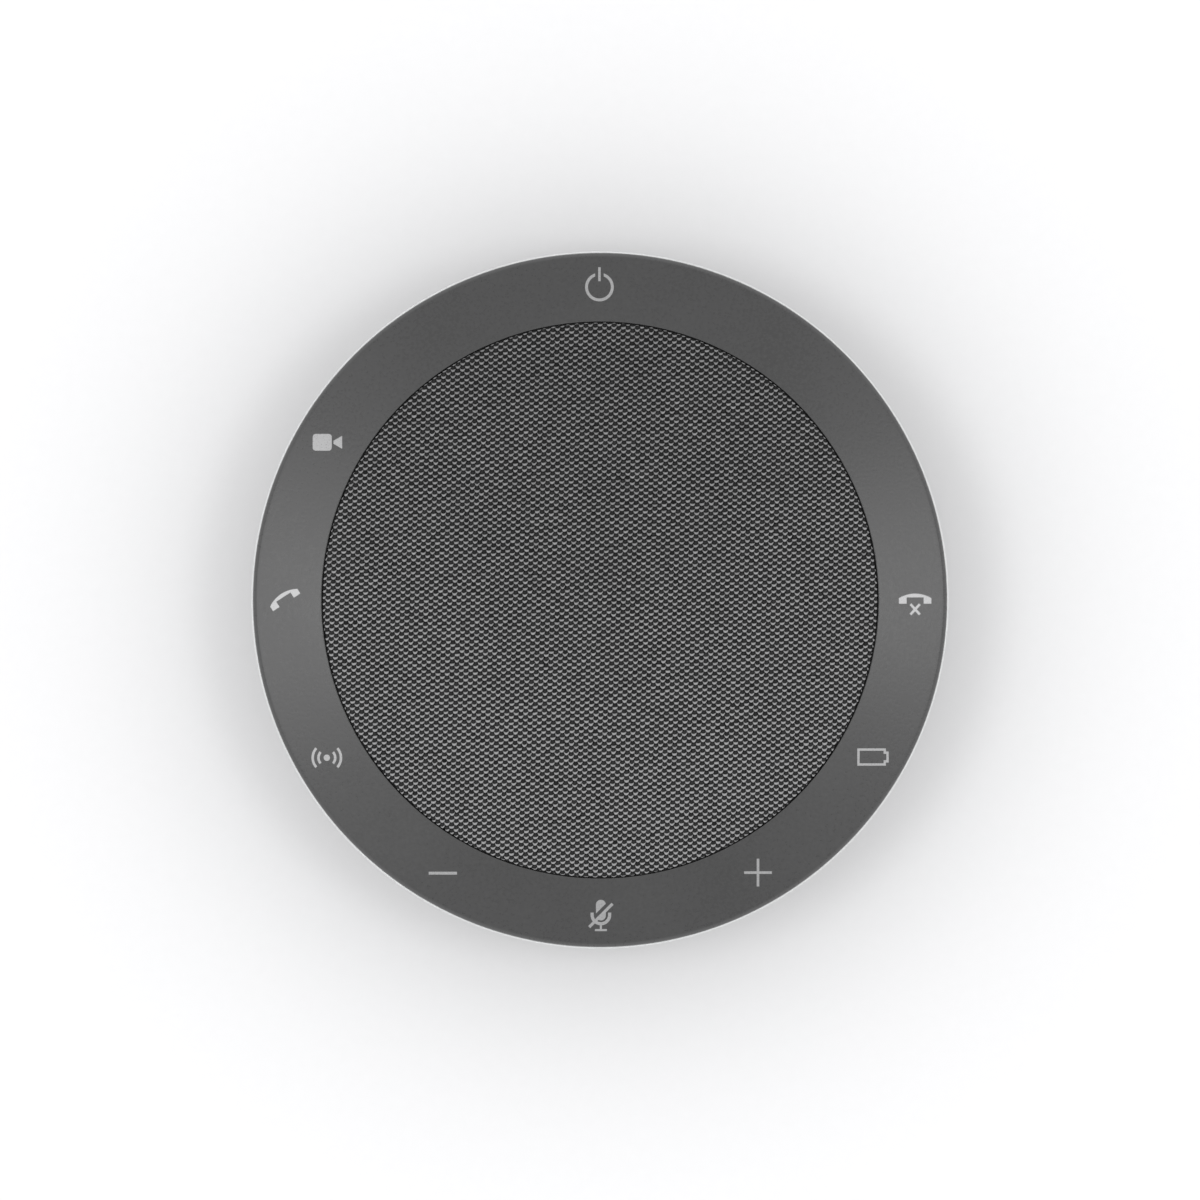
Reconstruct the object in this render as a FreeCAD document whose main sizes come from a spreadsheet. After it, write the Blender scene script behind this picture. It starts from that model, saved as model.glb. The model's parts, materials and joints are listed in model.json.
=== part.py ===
"""Conference speakerphone: a round puck with a sloping touch ring round a cloth-covered loudspeaker.

Millimetres. +Z is up, the table is Z = 0 and the axis of the puck is the Z axis.
+Y points to the power symbol, which is also the side of the USB-C socket.
"""
import FreeCAD, Part
import math
import os
import re

import Sketcher

Vector = FreeCAD.Vector

DIMENSIONS = {
    # Whole puck
    "body_radius": 60.0,          # outer edge of the control ring
    "full_height": 33.0,          # table to the crown of the cloth
    "play": 0.02,                 # gap between faces that are glued or rest on each other
    # Foot and bottom cover
    "foot_outer": 46.0,
    "foot_inner": 39.0,
    "foot_proud": 1.0,            # foot below the cover
    "foot_sunk": 0.8,             # foot inside its groove
    "cover_wall": 2.0,
    "cover_flat": 47.0,           # radius of the flat underside
    "corner_round": 9.0,          # round from the underside to the flank
    "corner_turn": 62.0,          # degrees that this round turns through
    "flank_round": 37.8,
    "rim_radius": 59.3,
    "rim_height": 23.5,
    "plate_radius": 30.0,         # blank rating plate
    "plate_thick": 0.4,
    "post_circle": 42.5,          # screws that close the housing
    "post_radius": 3.5,
    "post_split": 8.0,            # height where cover boss and frame post meet
    "closing_head": 2.8,
    "closing_sunk": 2.6,          # depth of a closing screw's head recess
    "closing_shank": 1.45,
    "standoff_circle": 45.5,      # screws that hold the main board
    "standoff_radius": 2.3,
    "rib_thin": 1.2,              # ribs that locate the battery
    "rib_rise": 9.0,
    # Light ring
    "light_radius": 60.3,
    "light_inner": 58.3,
    "light_high": 25.1,
    # Control ring
    "ring_inner": 48.1,
    "ring_crest": 30.8,           # top of the ring where it meets the cloth
    "ring_slope": 9.0,            # degrees that its top falls outwards
    "ring_skin": 1.6,
    "ring_low": 25.2,             # lower edge of the outer skirt
    "skirt_thick": 1.4,
    "edge_round": 0.8,
    "lip_round": 0.15,
    "ledge_inner": 45.8,          # ledge that carries the grille
    "ledge_low": 25.3,
    "ledge_high": 26.7,
    "ring_screw_circle": 46.2,
    "ring_boss": 2.2,
    "ring_inset": 1.3,            # wall below the lip
    # Symbols, set flush in the ring
    "symbol_depth": 0.4,
    "cutter_low": 26.0,           # the upright shapes that cut the symbols start here
    "cutter_high": 6.0,
    "symbol_circle": 54.5,
    "stroke": 0.5,
    "power_radius": 2.48,
    "power_gap": 1.48,
    "power_bar": 2.42,
    "handset_width": 5.62,
    "handset_height": 1.74,
    "handset_bow": 0.66,
    "handset_arch": 5.4,
    "handset_reach": 2.95,        # clear width between the two ends
    "cross_length": 2.4,
    "sign_width": 4.9,            # plus and minus
    "battery_width": 4.95,
    "battery_height": 2.98,
    "capsule_radius": 0.85,
    "capsule_length": 3.58,
    "cradle_radius": 1.79,
    "slash_length": 5.7,
    "wave_gap": 1.0,
    # Touch film and board
    "film_inner": 49.7,
    "film_outer": 58.25,
    "film_thick": 0.2,
    "film_window": 1.2,
    "board_low": 24.8,
    "board_thick": 1.0,
    "board_inner": 49.8,
    "board_outer": 58.2,
    # Inner frame
    "deck_low": 20.5,
    "deck_high": 22.5,
    "deck_radius": 55.9,
    "deck_opening": 31.3,
    "deck_recess": 34.8,
    "rib_inner": 50.1,
    "rib_outer": 53.6,
    "rib_thick": 1.9,
    # Grille
    "grille_radius": 46.9,
    "grille_edge": 29.9,          # height of the frame's edge
    "grille_crown": 32.3,
    "grille_thick": 1.2,
    "grille_hole": 1.7,
    "grille_pitch": 5.0,
    "cloth_radius": 47.7,
    "cloth_edge": 30.6,
    "cloth_round": 0.3,
    "cloth_hem": 0.3,             # gap between the cloth's turned edge and the ledge
    "glue_gap": 0.05,             # between the cloth and the grille frame
    # Loudspeaker chamber
    "chamber_radius": 30.8,
    "chamber_wall": 1.4,
    "chamber_low": 3.3,
    "chamber_flange": 34.5,
    "baffle_radius": 39.5,
    "baffle_opening": 23.0,
    "baffle_high": 24.5,
    "baffle_screw_circle": 37.0,
    # Loudspeaker
    "basket_flange": 26.8,
    "basket_high": 26.0,
    "driver_screw_circle": 25.4,
    "shelf_high": 18.4,
    "magnet_low": 8.0,
    "magnet_high": 13.0,
    "gap_high": 15.5,             # top of the plate round the voice coil
    "former_radius": 9.55,
    "former_thick": 0.15,
    "coil_thick": 0.5,
    "neck_high": 20.1,
    "cone_lip": 16.4,
    "cone_radius": 18.0,
    "cone_thick": 0.35,
    "roll_middle": 19.9,
    "roll_radius": 1.7,
    "skin_thick": 0.4,            # surround
    # Electronics
    "main_low": 8.0,
    "main_thick": 1.6,
    "main_inner": 32.5,
    "main_outer": 52.0,
    "socket_width": 8.94,
    "socket_high": 3.26,
    "socket_wall": 0.3,
    "socket_mouth": 56.4,         # how far out its opening lies
    "socket_length": 7.4,
    "port_ease": 0.3,
    "sound_port": 0.6,
    "port_height": 17.0,
    # Battery
    "pack_length": 40.0,
    "pack_depth": 15.0,
    "pack_height": 12.0,
    "pack_near": 31.5,
    "pack_low": 4.2,
}

doc = FreeCAD.newDocument("conference_speakerphone")
sheet = doc.addObject("Spreadsheet::Sheet", "Dims")
for row, (alias, size) in enumerate(DIMENSIONS.items(), start=1):
    sheet.set(f"A{row}", alias.replace("_", " "))
    sheet.set(f"B{row}", str(size))
    sheet.setAlias(f"B{row}", alias)
doc.recompute()

pieces = []

BOARD_SCREW_TURN = 18   # degrees from the X axis to the main board's screws
CHAMBER_TURN = 150      # degrees to the way that the loudspeaker's wires leave the chamber


# ---------------------------------------------------------------- expressions
def bound(text):
    """The same expression with each dimension's name pointing at its cell."""
    return re.sub(r"[a-z][a-z_]+", lambda word: f"Dims.{word[0]}" if word[0] in DIMENSIONS else word[0],
                  str(text))


def size_of(text):
    """What an expression of dimensions comes to, as a number."""
    return float(sheet.evalExpression(str(text)))


def bind(item, **expressions):
    """Bind properties of a document object; a double underscore stands for a dot."""
    for path, text in expressions.items():
        item.setExpression(path.replace("__", "."), bound(text))


def keep(item):
    """Count an object as a finished sub-part."""
    item.Label = item.Name
    pieces.append(item)
    return item


# ---------------------------------------------------------------- sketches
def new_body(name, turn=0):
    body = doc.addObject("PartDesign::Body", name)
    body.AllowCompound = True
    body.Placement = FreeCAD.Placement(Vector(0, 0, 0), FreeCAD.Rotation(Vector(0, 0, 1), turn))
    return body


def origin_item(body, role):
    return next(item for item in body.Origin.OriginFeatures if item.Role == role)


def sketch_on(body, name, role="XY_Plane", offset="0"):
    sketch = body.newObject("Sketcher::SketchObject", name)
    sketch.AttachmentSupport = [(origin_item(body, role), "")]
    sketch.MapMode = "FlatFace"
    bind(sketch, AttachmentOffset__Base__z=offset)
    return sketch


def fix_point(sketch, geometry, vertex, x, y):
    """Hold one point of a sketch at expressions for its two coordinates."""
    for kind, text, axis in (("DistanceX", x, -2), ("DistanceY", y, -1)):
        distance = size_of(text)
        if abs(distance) < 1e-9:
            sketch.addConstraint(Sketcher.Constraint("PointOnObject", geometry, vertex, axis))
        else:
            index = sketch.addConstraint(Sketcher.Constraint(kind, -1, 1, geometry, vertex, distance))
            sketch.setExpression(f"Constraints[{index}]", bound(text))


def arc_between(start, end, bend):
    """The arc from start to end. A positive bend turns left, a negative one turns right."""
    chord = end - start
    rise = math.sqrt(max(bend * bend - chord.Length ** 2 / 4, 0))
    left = Vector(-chord.y, chord.x, 0).normalize()
    centre = (start + end) * 0.5 + left * math.copysign(rise, bend)
    first, last = (start, end) if bend > 0 else (end, start)
    angles = [math.atan2(point.y - centre.y, point.x - centre.x) for point in (first, last)]
    return Part.ArcOfCircle(Part.Circle(centre, Vector(0, 0, 1), abs(bend)), *angles)


def draw_outline(sketch, rows):
    """A closed outline. Each row is (x, y) or (x, y, bend), where bend curves the edge that follows.

    An arc that ends on the upright axis has its centre on that axis, so that it turns into a ball.
    """
    count = len(rows)
    corners = [Vector(size_of(row[0]), size_of(row[1]), 0) for row in rows]
    first_edge = sketch.GeometryCount
    ends = []
    for index, row in enumerate(rows):
        start, end = corners[index], corners[(index + 1) % count]
        bend = size_of(row[2]) if len(row) > 2 else 0
        edge = arc_between(start, end, bend) if bend else Part.LineSegment(start, end)
        sketch.addGeometry(edge)
        ends.append((2, 1) if bend < 0 else (1, 2))
    for index, row in enumerate(rows):
        edge = first_edge + index
        follower = (index + 1) % count
        sketch.addConstraint(Sketcher.Constraint(
            "Coincident", edge, ends[index][1], first_edge + follower, ends[follower][0]))
        fix_point(sketch, edge, ends[index][0], row[0], row[1])
        if len(row) > 2 and 0 in (corners[index].x, corners[follower].x):
            sketch.addConstraint(Sketcher.Constraint("PointOnObject", edge, 3, -2))
        elif len(row) > 2:
            radius = sketch.addConstraint(Sketcher.Constraint("Radius", edge, abs(size_of(row[2]))))
            sketch.setExpression(f"Constraints[{radius}]", bound(f"abs({row[2]})"))


def draw_rectangle(sketch, left, right, low, high):
    draw_outline(sketch, [(left, low), (right, low), (right, high), (left, high)])


def draw_circle(sketch, x, y, radius):
    centre = Vector(size_of(x), size_of(y), 0)
    edge = sketch.addGeometry(Part.Circle(centre, Vector(0, 0, 1), size_of(radius)))
    fix_point(sketch, edge, 3, x, y)
    index = sketch.addConstraint(Sketcher.Constraint("Radius", edge, size_of(radius)))
    sketch.setExpression(f"Constraints[{index}]", bound(radius))


# ---------------------------------------------------------------- features
def repeat(body, feature, count):
    """Repeat a feature evenly round the axis of the puck."""
    pattern = body.newObject("PartDesign::PolarPattern", feature.Name + "_pattern")
    pattern.Originals = [feature]
    pattern.Axis = (origin_item(body, "Z_Axis"), [""])
    pattern.Angle = 360
    pattern.Occurrences = count
    body.Tip = pattern
    doc.recompute()


def add_revolution(body, name, rows, axis_at="0", count=1):
    """Turn an outline of (distance from its axis, height) rows into a solid of revolution."""
    sketch = sketch_on(body, name + "_sketch", "XZ_Plane")
    off_centre = abs(size_of(axis_at)) > 0
    if off_centre:
        axis = sketch.addGeometry(Part.LineSegment(Vector(size_of(axis_at), 0, 0),
                                                   Vector(size_of(axis_at), 50, 0)), True)
        fix_point(sketch, axis, 1, axis_at, "0")
        fix_point(sketch, axis, 2, axis_at, "50")
        rows = [(f"{axis_at} + {row[0]}", *row[1:]) for row in rows]
    draw_outline(sketch, rows)
    feature = body.newObject("PartDesign::Revolution", name)
    feature.Profile = sketch
    feature.ReferenceAxis = (sketch, ["Axis0" if off_centre else "V_Axis"])
    feature.Angle = 360
    doc.recompute()
    if count > 1:
        repeat(body, feature, count)


def add_pad(body, name, sketch, length, count=1):
    """Raise a sketch along its normal."""
    feature = body.newObject("PartDesign::Pad", name)
    feature.Profile = sketch
    bind(feature, Length=length)
    doc.recompute()
    if count > 1:
        repeat(body, feature, count)


def add_pocket(body, name, sketch, length, count=1):
    """Cut a sketch out along its normal and make sure that it removed something."""
    before = body.Shape.Volume
    feature = body.newObject("PartDesign::Pocket", name)
    feature.Profile = sketch
    feature.Reversed = True
    bind(feature, Length=length)
    doc.recompute()
    if count > 1:
        repeat(body, feature, count)
    if body.Shape.Volume > before - 1e-6:
        raise RuntimeError(f"{name} cuts nothing")


def turned(name, rows, axis_at="0", count=1, turn=0):
    """A sub-part that is one solid of revolution, or a circle of equal ones."""
    body = new_body(name, turn)
    add_revolution(body, name + "_revolution", rows, axis_at, count)
    return keep(body)


def hole_circle(body, name, circle, radius, low, depth, count, turn=0):
    """Drill equal holes on a circle, upwards from a height."""
    sketch = sketch_on(body, name + "_sketch", offset=low)
    draw_circle(sketch, f"{circle} * cos({turn})", f"{circle} * sin({turn})", radius)
    add_pocket(body, name, sketch, depth, count)


def post_circle(body, name, circle, radius, low, height, count, turn=0):
    """Raise equal round posts on a circle."""
    sketch = sketch_on(body, name + "_sketch", offset=low)
    draw_circle(sketch, f"{circle} * cos({turn})", f"{circle} * sin({turn})", radius)
    add_pad(body, name, sketch, height, count)


def slabs(name, near, far, width, low, height, count=1, turn=0):
    """A sub-part of equal blocks round the axis, each from a near to a far distance along X."""
    body = new_body(name, turn)
    sketch = sketch_on(body, name + "_sketch", offset=low)
    draw_rectangle(sketch, near, far, f"-({width}) / 2", f"({width}) / 2")
    add_pad(body, name + "_pad", sketch, height, count)
    return keep(body)


def screws(name, circle, seat, head, head_high, shank, tip, count, turn=0, upward=False):
    """Round-headed screws on a circle. The head sits above its seat, or below it if upward."""
    top = f"{seat} - {head_high}" if upward else f"{seat} + {head_high}"
    rows = [("0", tip), (shank, tip), (shank, seat), (head, seat), (head, top), ("0", top)]
    if upward:
        rows.reverse()
    return turned(name, rows, circle, count, turn)


# ---------------------------------------------------------------- primitives and booleans
def bar(name, width, height, x="0", y="0", turn=0, low="cutter_low", thick="cutter_high"):
    """A block centred on x, y and turned about that centre."""
    block = doc.addObject("Part::Box", name)
    across, along = f"({width}) / 2", f"({height}) / 2"
    block.Placement = FreeCAD.Placement(Vector(0, 0, 0), FreeCAD.Rotation(Vector(0, 0, 1), turn))
    bind(block, Length=width, Width=height, Height=thick, Placement__Base__z=low,
         Placement__Base__x=f"({x}) - cos({turn}) * {across} + sin({turn}) * {along}",
         Placement__Base__y=f"({y}) - sin({turn}) * {across} - cos({turn}) * {along}")
    return block


def disc(name, radius, x="0", y="0", start=0, sweep=360, low="cutter_low", thick="cutter_high"):
    """An upright cylinder, or a sector of one."""
    cylinder = doc.addObject("Part::Cylinder", name)
    cylinder.Angle = sweep
    cylinder.Placement = FreeCAD.Placement(Vector(0, 0, 0), FreeCAD.Rotation(Vector(0, 0, 1), start))
    bind(cylinder, Radius=radius, Height=thick,
         Placement__Base__x=x, Placement__Base__y=y, Placement__Base__z=low)
    return cylinder


def pair(kind, name, base, tool):
    result = doc.addObject("Part::" + kind, name)
    result.Base = base
    result.Tool = tool
    return result


def cut(name, base, tool):
    return pair("Cut", name, base, tool)


def common(name, base, tool):
    return pair("Common", name, base, tool)


def fuse(name, *parts):
    result = doc.addObject("Part::MultiFuse", name)
    result.Shapes = list(parts)
    return result


def group(name, *parts):
    """Separate solids that share one sub-part."""
    result = doc.addObject("Part::Compound", name)
    result.Links = list(parts)
    return result


def rounded(name, block, radius):
    """Round the upright edges of a block."""
    doc.recompute()
    result = doc.addObject("Part::Fillet", name)
    result.Base = block
    upright = [number for number, edge in enumerate(block.Shape.Edges, start=1)
               if abs(edge.Vertexes[0].Z - edge.Vertexes[-1].Z) > 1e-6]
    result.Edges = [(number, size_of(radius), size_of(radius)) for number in upright]
    return result


# ---------------------------------------------------------------- housing
def ring_height(radius, drop="0"):
    """Height of the ring's sloping top at a radius, less a drop."""
    return f"ring_crest - (({radius}) - ring_inner) * tan(ring_slope) - ({drop})"


def make_foot():
    turned("foot_ring", [
        ("foot_inner", "0"),
        ("foot_outer", "0"),
        ("foot_outer", "foot_proud + foot_sunk"),
        ("foot_inner", "foot_proud + foot_sunk")])


def cover_rows():
    """Bowl outline: flat underside, round corner, long flank, rim, and back inside."""
    corner = "corner_round - cover_wall"
    return [
        ("0", "foot_proud"),
        ("cover_flat", "foot_proud", "corner_round"),
        ("cover_flat + corner_round * sin(corner_turn)",
         "foot_proud + corner_round * (1 - cos(corner_turn))", "flank_round"),
        ("rim_radius", "rim_height"),
        ("rim_radius - cover_wall", "rim_height", "cover_wall - flank_round"),
        (f"cover_flat + ({corner}) * sin(corner_turn)",
         f"foot_proud + corner_round - ({corner}) * cos(corner_turn)", "cover_wall - corner_round"),
        ("cover_flat", "foot_proud + cover_wall"),
        ("0", "foot_proud + cover_wall")]


def make_bottom_cover():
    body = new_body("bottom_cover")
    add_revolution(body, "bowl", cover_rows())
    floor = "foot_proud + cover_wall"
    post_circle(body, "closing_bosses", "post_circle", "post_radius + 0.3", floor,
                f"post_split - ({floor})", 4, 45)
    for side in (-1, 1):
        post_circle(body, f"board_standoffs_{side + 1}", "standoff_circle", "standoff_radius", floor,
                    f"main_low - ({floor})", 2, BOARD_SCREW_TURN * side)
        ribs = sketch_on(body, f"pack_rib_{side + 1}_sketch", offset=floor)
        middle = f"{side} * (pack_length / 2 + 1)"
        draw_rectangle(ribs, f"{middle} - rib_thin / 2", f"{middle} + rib_thin / 2",
                       "-pack_near - 12", "-pack_near - 3")
        add_pad(body, f"pack_rib_{side + 1}", ribs, "rib_rise")
    groove = sketch_on(body, "foot_groove_sketch", offset="foot_proud")
    draw_circle(groove, "0", "0", "foot_outer + play")
    draw_circle(groove, "0", "0", "foot_inner - play")
    add_pocket(body, "foot_groove", groove, "foot_sunk + play")
    plate = sketch_on(body, "plate_recess_sketch", offset="foot_proud")
    draw_circle(plate, "0", "0", "plate_radius + 0.1")
    add_pocket(body, "plate_recess", plate, "plate_thick + 0.1")
    hole_circle(body, "head_recess", "post_circle", "closing_head + 0.2", "foot_proud + foot_sunk",
                "closing_sunk", 4, 45)
    hole_circle(body, "shank_hole", "post_circle", "closing_shank + 0.15", "foot_proud", "post_split", 4, 45)
    for side in (-1, 1):
        hole_circle(body, f"standoff_hole_{side + 1}", "standoff_circle", "1", "4", "main_low", 2,
                    BOARD_SCREW_TURN * side)
    ports = sketch_on(body, "sound_port_sketch", "YZ_Plane")
    ports.AttachmentOffset = FreeCAD.Placement(Vector(0, 0, 0), FreeCAD.Rotation(Vector(0, 1, 0), 45))
    draw_circle(ports, "0", "port_height", "sound_port")
    add_pocket(body, "sound_ports", ports, "70", 4)
    return keep(body)


def make_closing_screws():
    seat = "foot_proud + foot_sunk + closing_sunk"
    screws("cover_screws", "post_circle", seat, "closing_head", "2", "closing_shank", "16", 4, 45,
           upward=True)


def make_rating_plate():
    turned("rating_plate", [
        ("0", "foot_proud"),
        ("plate_radius", "foot_proud"),
        ("plate_radius", "foot_proud + plate_thick"),
        ("0", "foot_proud + plate_thick")])


def make_light_ring():
    turned("light_ring", [
        ("light_inner", "rim_height"),
        ("light_radius - 0.3", "rim_height", "0.3"),
        ("light_radius", "rim_height + 0.3"),
        ("light_radius", "light_high - 0.3", "0.3"),
        ("light_radius - 0.3", "light_high"),
        ("light_inner", "light_high")])


def ring_blank():
    """The control ring before its symbols are set in: sloping top, two skirts and the grille's ledge."""
    edge = "edge_round * tan((90 - ring_slope) / 2)"
    lip = "lip_round * tan((90 + ring_slope) / 2)"
    skirt = "body_radius - skirt_thick"
    rim = ring_height("body_radius")
    inside = "ring_inner + ring_inset"
    body = new_body("ring_blank")
    add_revolution(body, "ring_revolution", [
        ("ledge_inner", "ledge_low"),
        ("ring_inner", "ledge_low"),
        ("ring_inner", "deck_high + play"),
        (inside, "deck_high + play"),
        (inside, ring_height(inside, "ring_skin")),
        (skirt, ring_height(skirt, "ring_skin")),
        (skirt, "ring_low"),
        ("body_radius", "ring_low"),
        ("body_radius", f"{rim} - {edge}", "edge_round"),
        (f"body_radius - {edge} * cos(ring_slope)", f"{rim} + {edge} * sin(ring_slope)"),
        (f"ring_inner + {lip} * cos(ring_slope)", f"ring_crest - {lip} * sin(ring_slope)", "lip_round"),
        ("ring_inner", f"ring_crest - {lip}"),
        ("ring_inner", "ledge_high"),
        ("ledge_inner", "ledge_high")])
    post_circle(body, "ring_bosses", "ring_screw_circle", "ring_boss", "deck_high + play",
                "ledge_low + 0.2 - deck_high", 6)
    hole_circle(body, "ring_boss_holes", "ring_screw_circle", "0.8", "deck_high", "3.2", 6)
    return body


# ---------------------------------------------------------------- symbols
def power_symbol():
    hollow = disc("power_inner", "power_radius - stroke")
    loop = cut("power_loop", disc("power_outer", "power_radius"), hollow)
    opened = cut("power_open", loop, bar("power_slot", "power_gap", "power_radius", y="power_radius / 2"))
    return fuse("power_tool", opened, bar("power_stem", "stroke - 0.07", "power_bar", y="2.23"))


def meeting_symbol():
    """A plain video camera: a rounded body and a lens that widens away from it."""
    case = rounded("meeting_case", bar("meeting_block", "3.3", "2.9", x="-0.8"), "0.55")
    lens = doc.addObject("Part::Prism", "meeting_lens")
    lens.Polygon = 3
    lens.Placement = FreeCAD.Placement(Vector(0, 0, 0), FreeCAD.Rotation(Vector(0, 0, 1), 180))
    bind(lens, Circumradius="1.3", Height="cutter_high", Placement__Base__x="2",
         Placement__Base__z="cutter_low")
    trimmed = common("meeting_trim", lens, bar("meeting_bound", "1.6", "3", x="1.95"))
    return fuse("meeting_tool", case, trimmed)


def handset(name, turn=0):
    """An arched bow with two square ends, turned as a whole."""
    top = "handset_height / 2"
    whole = common(name + "_arch", bar(name + "_block", "handset_width", "handset_height"),
                   disc(name + "_circle", "handset_arch", y=f"{top} - handset_arch"))
    reach = bar(name + "_reach", "handset_reach", "handset_height", y="-handset_bow")
    result = cut(name + "_tool", whole, reach)
    result.Placement = FreeCAD.Placement(Vector(0, 0, 0), FreeCAD.Rotation(Vector(0, 0, 1), turn))
    return result


def hang_up_symbol():
    """A level handset with a small cross under it."""
    arms = [bar(f"cross_{tilt + 48}", "cross_length", "stroke - 0.08", y="-1.85", turn=tilt)
            for tilt in (48, -48)]
    return fuse("hang_up_tool", handset("ended_call"), *arms)


def wireless_symbol():
    """A dot with two pairs of arcs, one pair on each side."""
    shapes = [disc("wireless_dot", "0.55")]
    for side, start in (("right", -42), ("left", 138)):
        for ring in (1, 2):
            middle = f"0.45 + wave_gap * {ring}"
            outer = disc(f"wave_{side}_{ring}_outer", f"{middle} + stroke * 0.44", start=start, sweep=84)
            inner = disc(f"wave_{side}_{ring}_inner", f"{middle} - stroke * 0.44")
            shapes.append(cut(f"wave_{side}_{ring}", outer, inner))
    return fuse("wireless_tool", *shapes)


def volume_down_symbol():
    return fuse("volume_down_tool", bar("minus_left", "sign_width / 2", "stroke", x="-sign_width / 4"),
                bar("minus_right", "sign_width / 2", "stroke", x="sign_width / 4"))


def volume_up_symbol():
    return fuse("volume_up_tool", bar("plus_level", "sign_width - 0.1", "stroke - 0.05"),
                bar("plus_upright", "stroke - 0.05", "sign_width - 0.1"))


def mute_symbol():
    """A microphone in its cradle, struck through, with a clear band above the stroke."""
    straight = "capsule_length - 2 * capsule_radius"
    capsule = fuse("capsule", bar("capsule_middle", "2 * capsule_radius", straight, y="0.92"),
                   disc("capsule_top", "capsule_radius", y=f"0.92 + ({straight}) / 2"),
                   disc("capsule_foot", "capsule_radius", y=f"0.92 - ({straight}) / 2"))
    band = bar("clear_band", "slash_length", "0.6", x="-0.38", y="0.38", turn=45)
    stroke_back = "cradle_radius - stroke - 0.05"
    cup = cut("cradle_cup", disc("cradle_outer", "cradle_radius", y="0.08", start=180, sweep=180),
              disc("cradle_inner", stroke_back, y="0.08"))
    arms = [bar(f"cradle_arm_{side + 1}", "stroke + 0.05", "0.42", y="0.28",
                x=f"{side} * (cradle_radius - stroke / 2 - 0.025)") for side in (-1, 1)]
    return fuse("mute_tool", cut("capsule_cut", capsule, band), cup, *arms,
                bar("microphone_stem", "0.36", "0.9", y="-2.1"),
                bar("microphone_base", "2.08", "0.36", y="-2.54"),
                bar("mute_slash", "slash_length", "stroke", turn=45))


def battery_symbol():
    """One outline round the case and its terminal, with no wall between the two."""
    case = fuse("battery_case", bar("battery_block", "battery_width", "battery_height"),
                bar("battery_nub", "1.5", "1.9", x="battery_width / 2 - 0.27"))
    hollow = fuse("battery_hollow", bar("battery_room", "battery_width - 0.8", "battery_height - 0.8"),
                  bar("nub_room", "1.5", "1.1", x="battery_width / 2 - 0.67"))
    return cut("battery_tool", case, hollow)


def make_control_ring():
    """Each symbol is the part of the ring's top skin under its outline, and the ring has it cut out."""
    skin = new_body("symbol_skin")
    add_revolution(skin, "skin_revolution", [
        ("ring_inner + 1", ring_height("ring_inner + 1", "symbol_depth")),
        ("body_radius - 1", ring_height("body_radius - 1", "symbol_depth")),
        ("body_radius - 1", ring_height("body_radius - 1")),
        ("ring_inner + 1", ring_height("ring_inner + 1"))])
    places = {
        "icon_power": (power_symbol(), 90, "-0.1", "-0.43"),
        "icon_meeting": (meeting_symbol(), 150, "0", "0"),
        "icon_answer": (handset("live_call", 33), 180, "-0.1", "0.33"),
        "icon_wireless": (wireless_symbol(), 210, "0", "0"),
        "icon_volume_down": (volume_down_symbol(), 240, "0.1", "0"),
        "icon_mute": (mute_symbol(), 270, "0.15", "0"),
        "icon_volume_up": (volume_up_symbol(), 300, "0.05", "0.1"),
        "icon_battery": (battery_symbol(), 330, "-0.27", "0.12"),
        "icon_hang_up": (hang_up_symbol(), 0, "-0.05", "0.24")}
    symbols = []
    for name, (tool, angle, right, up) in places.items():
        bind(tool, Placement__Base__x=f"symbol_circle * cos({angle}) + ({right})",
             Placement__Base__y=f"symbol_circle * sin({angle}) + ({up})")
        symbols.append(keep(common(name, skin, tool)))
    keep(cut("control_ring", ring_blank(), fuse("all_symbols", *symbols)))


# ---------------------------------------------------------------- touch and light electronics
def make_touch_film():
    under = "ring_skin + play"
    body = new_body("touch_film")
    add_revolution(body, "film_revolution", [
        ("film_inner", ring_height("film_inner", f"{under} + film_thick")),
        ("film_outer", ring_height("film_outer", f"{under} + film_thick")),
        ("film_outer", ring_height("film_outer", under)),
        ("film_inner", ring_height("film_inner", under))])
    hole_circle(body, "film_windows", "symbol_circle", "film_window", "26", "6", 12)
    keep(body)


def make_touch_board():
    turned("touch_board", [
        ("board_inner", "board_low"),
        ("board_outer", "board_low"),
        ("board_outer", "board_low + board_thick"),
        ("board_inner", "board_low + board_thick")])
    slabs("status_lights", "56.5", "57.9", "2", "board_low - 1", "1 - play", 12, 15)
    slabs("symbol_lights", "symbol_circle - 0.8", "symbol_circle + 0.8", "0.8",
          "board_low + board_thick + play", "0.5", 12)


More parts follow.
